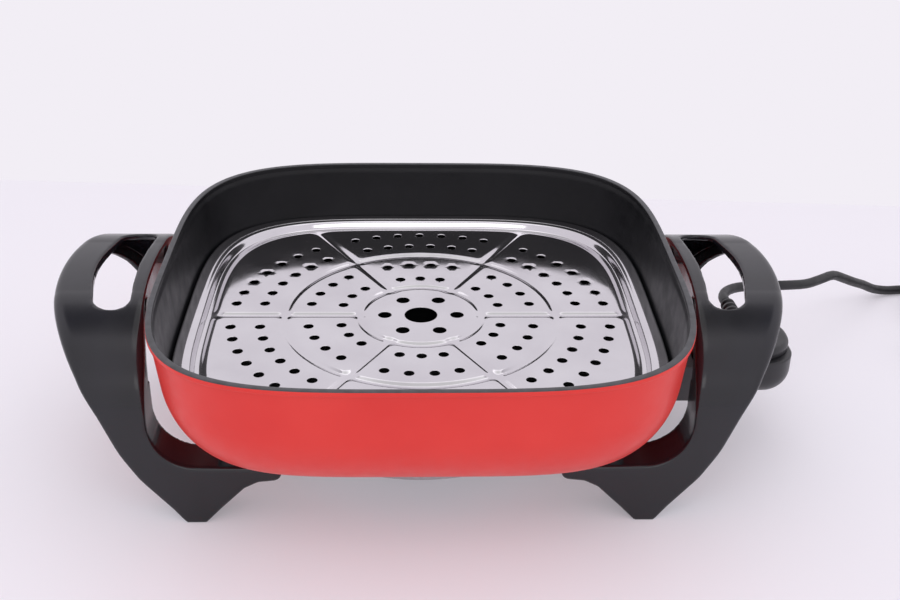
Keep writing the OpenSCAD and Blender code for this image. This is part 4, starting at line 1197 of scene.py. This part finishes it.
class SKILLET_OT_dial(bpy.types.Operator):
    """Turn the fluted temperature dial"""

    bl_idname = "skillet.dial"
    bl_label = "Temperature dial"

    def execute(self, context):
        c = sizes_mm("skillet_controller")
        low, high = cad_box("temperature_dial")
        radius, height = (high[1] - low[1]) / 2, high[2] - low[2]
        under = height - DIAL_COVER
        section = [(0, under), (DIAL_SHAFT, under), (DIAL_SHAFT, 0)]
        section += [(radius - in_by, up, 2, share) for in_by, up, share in DIAL_FOOT]
        section += [(radius - in_by, height - down, 2, share) for in_by, down, share in DIAL_EDGE]
        section += [(0, height - DIAL_EDGE[-1][1])]
        place = (*(low + high)[:2] / 2, low[2])
        faces, flutes = c["flutes"] * 12, (c["flutes"], c["flute_depth"])
        mesh = turned("fluted_dial", section, [place], [abs_black()], faces, *flutes)
        new_piece("fluted_dial", mesh, "dial", "dial_plastic", "temperature_dial")
        self.pointer(place, radius, height)
        return {"FINISHED"}

    def pointer(self, place, radius, height):
        """Raised bar of white filled plastic, matt beside the black, that points from the
        dial's middle to its edge."""
        work = bmesh.new()
        bmesh.ops.create_cube(work, size=1)
        start, end = POINTER_START, radius - POINTER_END
        size = Vector((end - start, POINTER_WIDE, POINTER_THICK))
        bmesh.ops.scale(work, verts=work.verts, vec=size * MM)
        middle = in_frame(np.add(place, ((start + end) / 2, 0, height - POINTER_DOWN)))
        bmesh.ops.translate(work, verts=work.verts, vec=middle)
        edge = {"offset": POINTER_SOFT * MM, "segments": 2, "profile": 0.5, "affect": "EDGES"}
        bmesh.ops.bevel(work, geom=work.edges, **edge)
        white = hard("White filled plastic", "#D9D6D2", 0.4, 1.5, 0.6, 0.01)
        new_piece("dial_pointer", mesh_of("dial_pointer", work, white), "dial", "dial_plastic")


# Walls round the cord: in the cover's hole, at the cone's foot, at its tip and under its cuts
NECK_WALL, CONE_WALL, TIP_WALL, CUT_WALL = 2.5, 3.0, 1.3, 0.6
CONE_OUT, FLANGE = 4, 2  # from the cover's inner side to the cone, and the flange's thickness
RIB_CUT, RIB_SOFT = 2.4, 0.3  # width of a cut between ribs, and its edges' bevel
TIP_SOFT, CORD_BITE = 0.4, 0.1  # the tip's bevel, and its innermost ring's depth in the cord


class SKILLET_OT_relief(bpy.types.Operator):
    """Mould the cord's tapered strain relief, cut with ribs"""

    bl_idname = "skillet.relief"
    bl_label = "Strain relief"

    def execute(self, context):
        c, cord = sizes_mm("skillet_controller"), sizes_mm("skillet_cord")["diameter"] / 2
        low, high = cad_box("strain_relief")
        x, length, z = (low[0] + high[0]) / 2, high[1] - low[1], (low[2] + high[2]) / 2
        start, wide = c["wall"] + CONE_OUT, (high[2] - low[2]) / 2
        neck, cone, tip, core = (cord + w for w in (NECK_WALL, CONE_WALL, TIP_WALL, CUT_WALL))
        rows = [(0, length), (cord - CORD_BITE, length)]
        rows += [(tip - RIB_SOFT, length), (tip, length - TIP_SOFT)]
        pitch = (length - start) / (c["ribs"] + 1)
        for k in range(c["ribs"], 0, -1):
            at = start + pitch * k
            for up, cut_in in ((RIB_CUT, 0), (RIB_CUT - RIB_SOFT, 1), (RIB_SOFT, 1), (0, 0)):
                outside = cone + (tip - cone) * (at + up - start) / (length - start)
                rows.append((core if cut_in else outside, at + up))
        rows += [(cone, start), (neck, start - RIB_SOFT), (neck, FLANGE), (wide, FLANGE)]
        rows += [(wide, 0), (0, 0)]
        place, lean = [(x, low[1], z)], (-math.pi / 2, 0, 0)
        mesh = turned("ribbed_relief", rows[::-1], place, [cord_pvc()], 48, lean=lean)
        new_piece("ribbed_relief", mesh, "controller", "cord_rubber", "strain_relief")
        return {"FINISHED"}


# ---- Stage ----

# Soft boxes: name, place, the point it faces, width, length and the light it gives off
LAMPS = (
    ("overhead", (0.0, 0.12, 1.15), (0, 0.12, 0), 0.76, 1.5, 0.7),
    ("left", (-1.6, 0.1, 0.8), (0, 0, 0.1), 0.6, 0.6, 1.2),
    ("right", (1.6, 0.1, 0.8), (0, 0, 0.1), 0.6, 0.6, 1.2),
    ("low front", (0.0, -1.6, 0.85), (0, 0, 0.1), 0.9, 0.4, 1.1),
    ("front", (0.0, -1.0, 1.5), (0, -0.2, 0), 1.4, 0.7, 1.0),
)
REFLECTED_LAMPS = ("overhead", "low front")
DARK_END = (0, 0.22, 0.976)  # where the room that shines in glossy faces is darkest
DARK_FROM, DARK_TO, DARKEST = 0.87, 0.97, 0.1  # cosines round that end, and its share of light
ROOM_FILL, FILL_TONE = 0.87, "#F6F4FA"  # the light from all round
SHADOW_LIFT = 0.28  # share of the floor's own colour that shows in its shadows
# The far edge is the line where the floor meets the background
FLOOR_CORNERS = ((-2.5, -2.5), (2.5, -2.5), (2.5, 0.227), (-2.5, 0.57))


class SKILLET_OT_stage(bpy.types.Operator):
    """Set up the pale floor, the background and the soft lights"""

    bl_idname = "skillet.stage"
    bl_label = "Stage"

    def execute(self, context):
        look = context.scene.skillet_colours
        mesh = bpy.data.meshes.new("floor")
        mesh.from_pydata([(x, y, 0) for x, y in FLOOR_CORNERS], [], [(0, 1, 2, 3)])
        mesh.materials.append(self.pale_board((*look.floor, 1)))
        new_object("floor", mesh)
        self.room((*look.wall, 1))
        for name, place, aim, width, length, glow in LAMPS:
            light = bpy.data.lights.new(name, "AREA")
            light.shape, light.size, light.size_y = "RECTANGLE", width, length
            light.energy = glow * math.pi * width * length
            lamp = new_object(name, light)
            lamp.location = place
            lamp.rotation_euler = (Vector(aim) - Vector(place)).to_track_quat("-Z", "Y").to_euler()
            lamp.visible_glossy = name in REFLECTED_LAMPS
        context.scene.view_settings.view_transform = "Standard"
        return {"FINISHED"}

    def room(self, wall):
        """The background. What is glossy sees the pale room too, with its dark end overhead."""
        world = bpy.context.scene.world or bpy.data.worlds.new("studio")
        bpy.context.scene.world = world
        world.use_nodes = True
        tree = world.node_tree
        tree.nodes.clear()
        rays = add(tree, "ShaderNodeLightPath")
        seen = (rays["Is Camera Ray"], rays["Is Transmission Ray"])
        seen = add(tree, "ShaderNodeMath", *seen, operation="MAXIMUM")[0]
        way = add(tree, "ShaderNodeTexCoord")["Generated"]
        near = add(tree, "ShaderNodeVectorMath", way, DARK_END, operation="DOT_PRODUCT")["Value"]
        depth = add(tree, "ShaderNodeMapRange", near, DARK_FROM, DARK_TO, 1.0, DARKEST)[0]
        fill = add(tree, "ShaderNodeBackground", linear(FILL_TONE), ROOM_FILL)
        room = add(tree, "ShaderNodeBackground", wall, depth)
        shown = add(tree, "ShaderNodeBackground", wall, 1.0)
        mix = add(tree, "ShaderNodeMixShader", rays["Is Glossy Ray"], fill[0], room[0])
        mix = add(tree, "ShaderNodeMixShader", seen, mix[0], shown[0])
        add(tree, "ShaderNodeOutputWorld", mix[0])

    def pale_board(self, board):
        """Matt painted board, a little of its colour showing by itself so that shadows stay pale."""
        finish = new_finish("Pale board", (board, board), 60, (0.6, 0.75), 60, 3, 0.01)
        tree = finish.node_tree
        output = next(node for node in tree.nodes if node.bl_idname == "ShaderNodeOutputMaterial")
        matt = output.inputs[0].links[0].from_socket
        rays = add(tree, "ShaderNodeLightPath")
        seen = (rays["Is Camera Ray"], rays["Is Glossy Ray"])
        seen = add(tree, "ShaderNodeMath", *seen, operation="MAXIMUM")[0]
        share = add(tree, "ShaderNodeMath", seen, SHADOW_LIFT, operation="MULTIPLY")[0]
        own = add(tree, "ShaderNodeEmission", board, 1.0)[0]
        tree.links.new(add(tree, "ShaderNodeMixShader", share, matt, own)[0], output.inputs[0])
        return finish


# ---- Other CAD nodes ----


class SKILLET_OT_fittings(bpy.types.Operator):
    """Finish the heater, the socket, the screws and the pieces inside the controller"""

    bl_idname = "skillet.fittings"
    bl_label = "Fittings"

    def execute(self, context):
        # Sand cast: pale grey and matt, with a coarse skin
        heater = metal("Cast aluminium heater", "#B4B4B6", (0.38, 0.55), 0.7, 0.1)
        dress(heater, "heater_casting")
        # Browned by its heat, dull
        element = metal("Sheathed element steel", "#6B655E", (0.4, 0.6), 0.5, 0.03)
        dress(element, "heating_tube")
        # Bright warm silver with clear highlights
        nickel = metal("Nickel-plated brass", "#CFCDC8", (0.15, 0.25), 0.4, 0.01)
        dress(nickel, "terminal_pins", "plug_pins")
        # Fired unglazed: cream, with no shine
        dress(hard("Steatite ceramic", "#E6E1D6", 0.5, 1.6, 0.5, 0.02), "pin_insulators")
        # Sprayed paint: an even dark grey, half matt
        dress(hard("Grey painted steel", "#4B4B4E", 0.45, 1.5, 0.6, 0.02), "socket_shroud")
        # Plated screws: light grey, with soft highlights
        zinc = metal("Zinc-plated steel", "#B9BABC", (0.22, 0.38), 0.3, 0.01)
        dress(zinc, "shroud_screws", "leg_screws", "handle_screws", "cover_screws")
        # Moulded with its filler showing: matt brown
        dress(hard("Brown phenolic", "#6B5A47", 0.5, 1.54, 0.5, 0.02), "thermostat_block")
        # Drawn brass, bare: yellow, with drawn-out highlights
        dress(metal("Brass", "#CFA55B", (0.2, 0.35), 0.4, 0.01), "contact_sleeves")
        # Drawn rod: grey, with a satin shine
        steel = metal("Drawn stainless", "#BDBDBF", (0.25, 0.35), 0.3, 0.01)
        dress(steel, "probe_rod", "dial_shaft")
        # Polished lens: deep orange with sharp highlights
        dress(hard("Amber acrylic", "#D8692E", 0.12, 1.49, 1.0, 0.005), "indicator_lens")
        return {"FINISHED"}


OPERATORS = (
    SKILLET_OT_camera, SKILLET_OT_cord, SKILLET_OT_pan, SKILLET_OT_tray, SKILLET_OT_handles,
    SKILLET_OT_covers, SKILLET_OT_dial, SKILLET_OT_relief, SKILLET_OT_fittings, SKILLET_OT_stage,
)


class SKILLET_PT_panel(bpy.types.Panel):
    bl_idname = "SKILLET_PT_panel"
    bl_label = "Electric Skillet"
    bl_space_type = "VIEW_3D"
    bl_region_type = "UI"
    bl_category = "Skillet"

    def draw(self, context):
        for name, group in SETTINGS.items():
            box = self.layout.box()
            for key in group.__annotations__:
                box.prop(getattr(context.scene, name), key)
        for operator in OPERATORS:
            self.layout.operator(operator.bl_idname)


CLASSES = (*SETTINGS.values(), *OPERATORS, SKILLET_PT_panel)


def register():
    for item in CLASSES:
        bpy.utils.register_class(item)
    for name, group in SETTINGS.items():
        setattr(bpy.types.Scene, name, PointerProperty(type=group))


def unregister():
    for name in SETTINGS:
        delattr(bpy.types.Scene, name)
    for item in reversed(CLASSES):
        bpy.utils.unregister_class(item)


def main():
    register()
    for operator in OPERATORS:
        getattr(bpy.ops.skillet, operator.bl_idname.split(".")[1])()


if __name__ == "__main__":
    main()
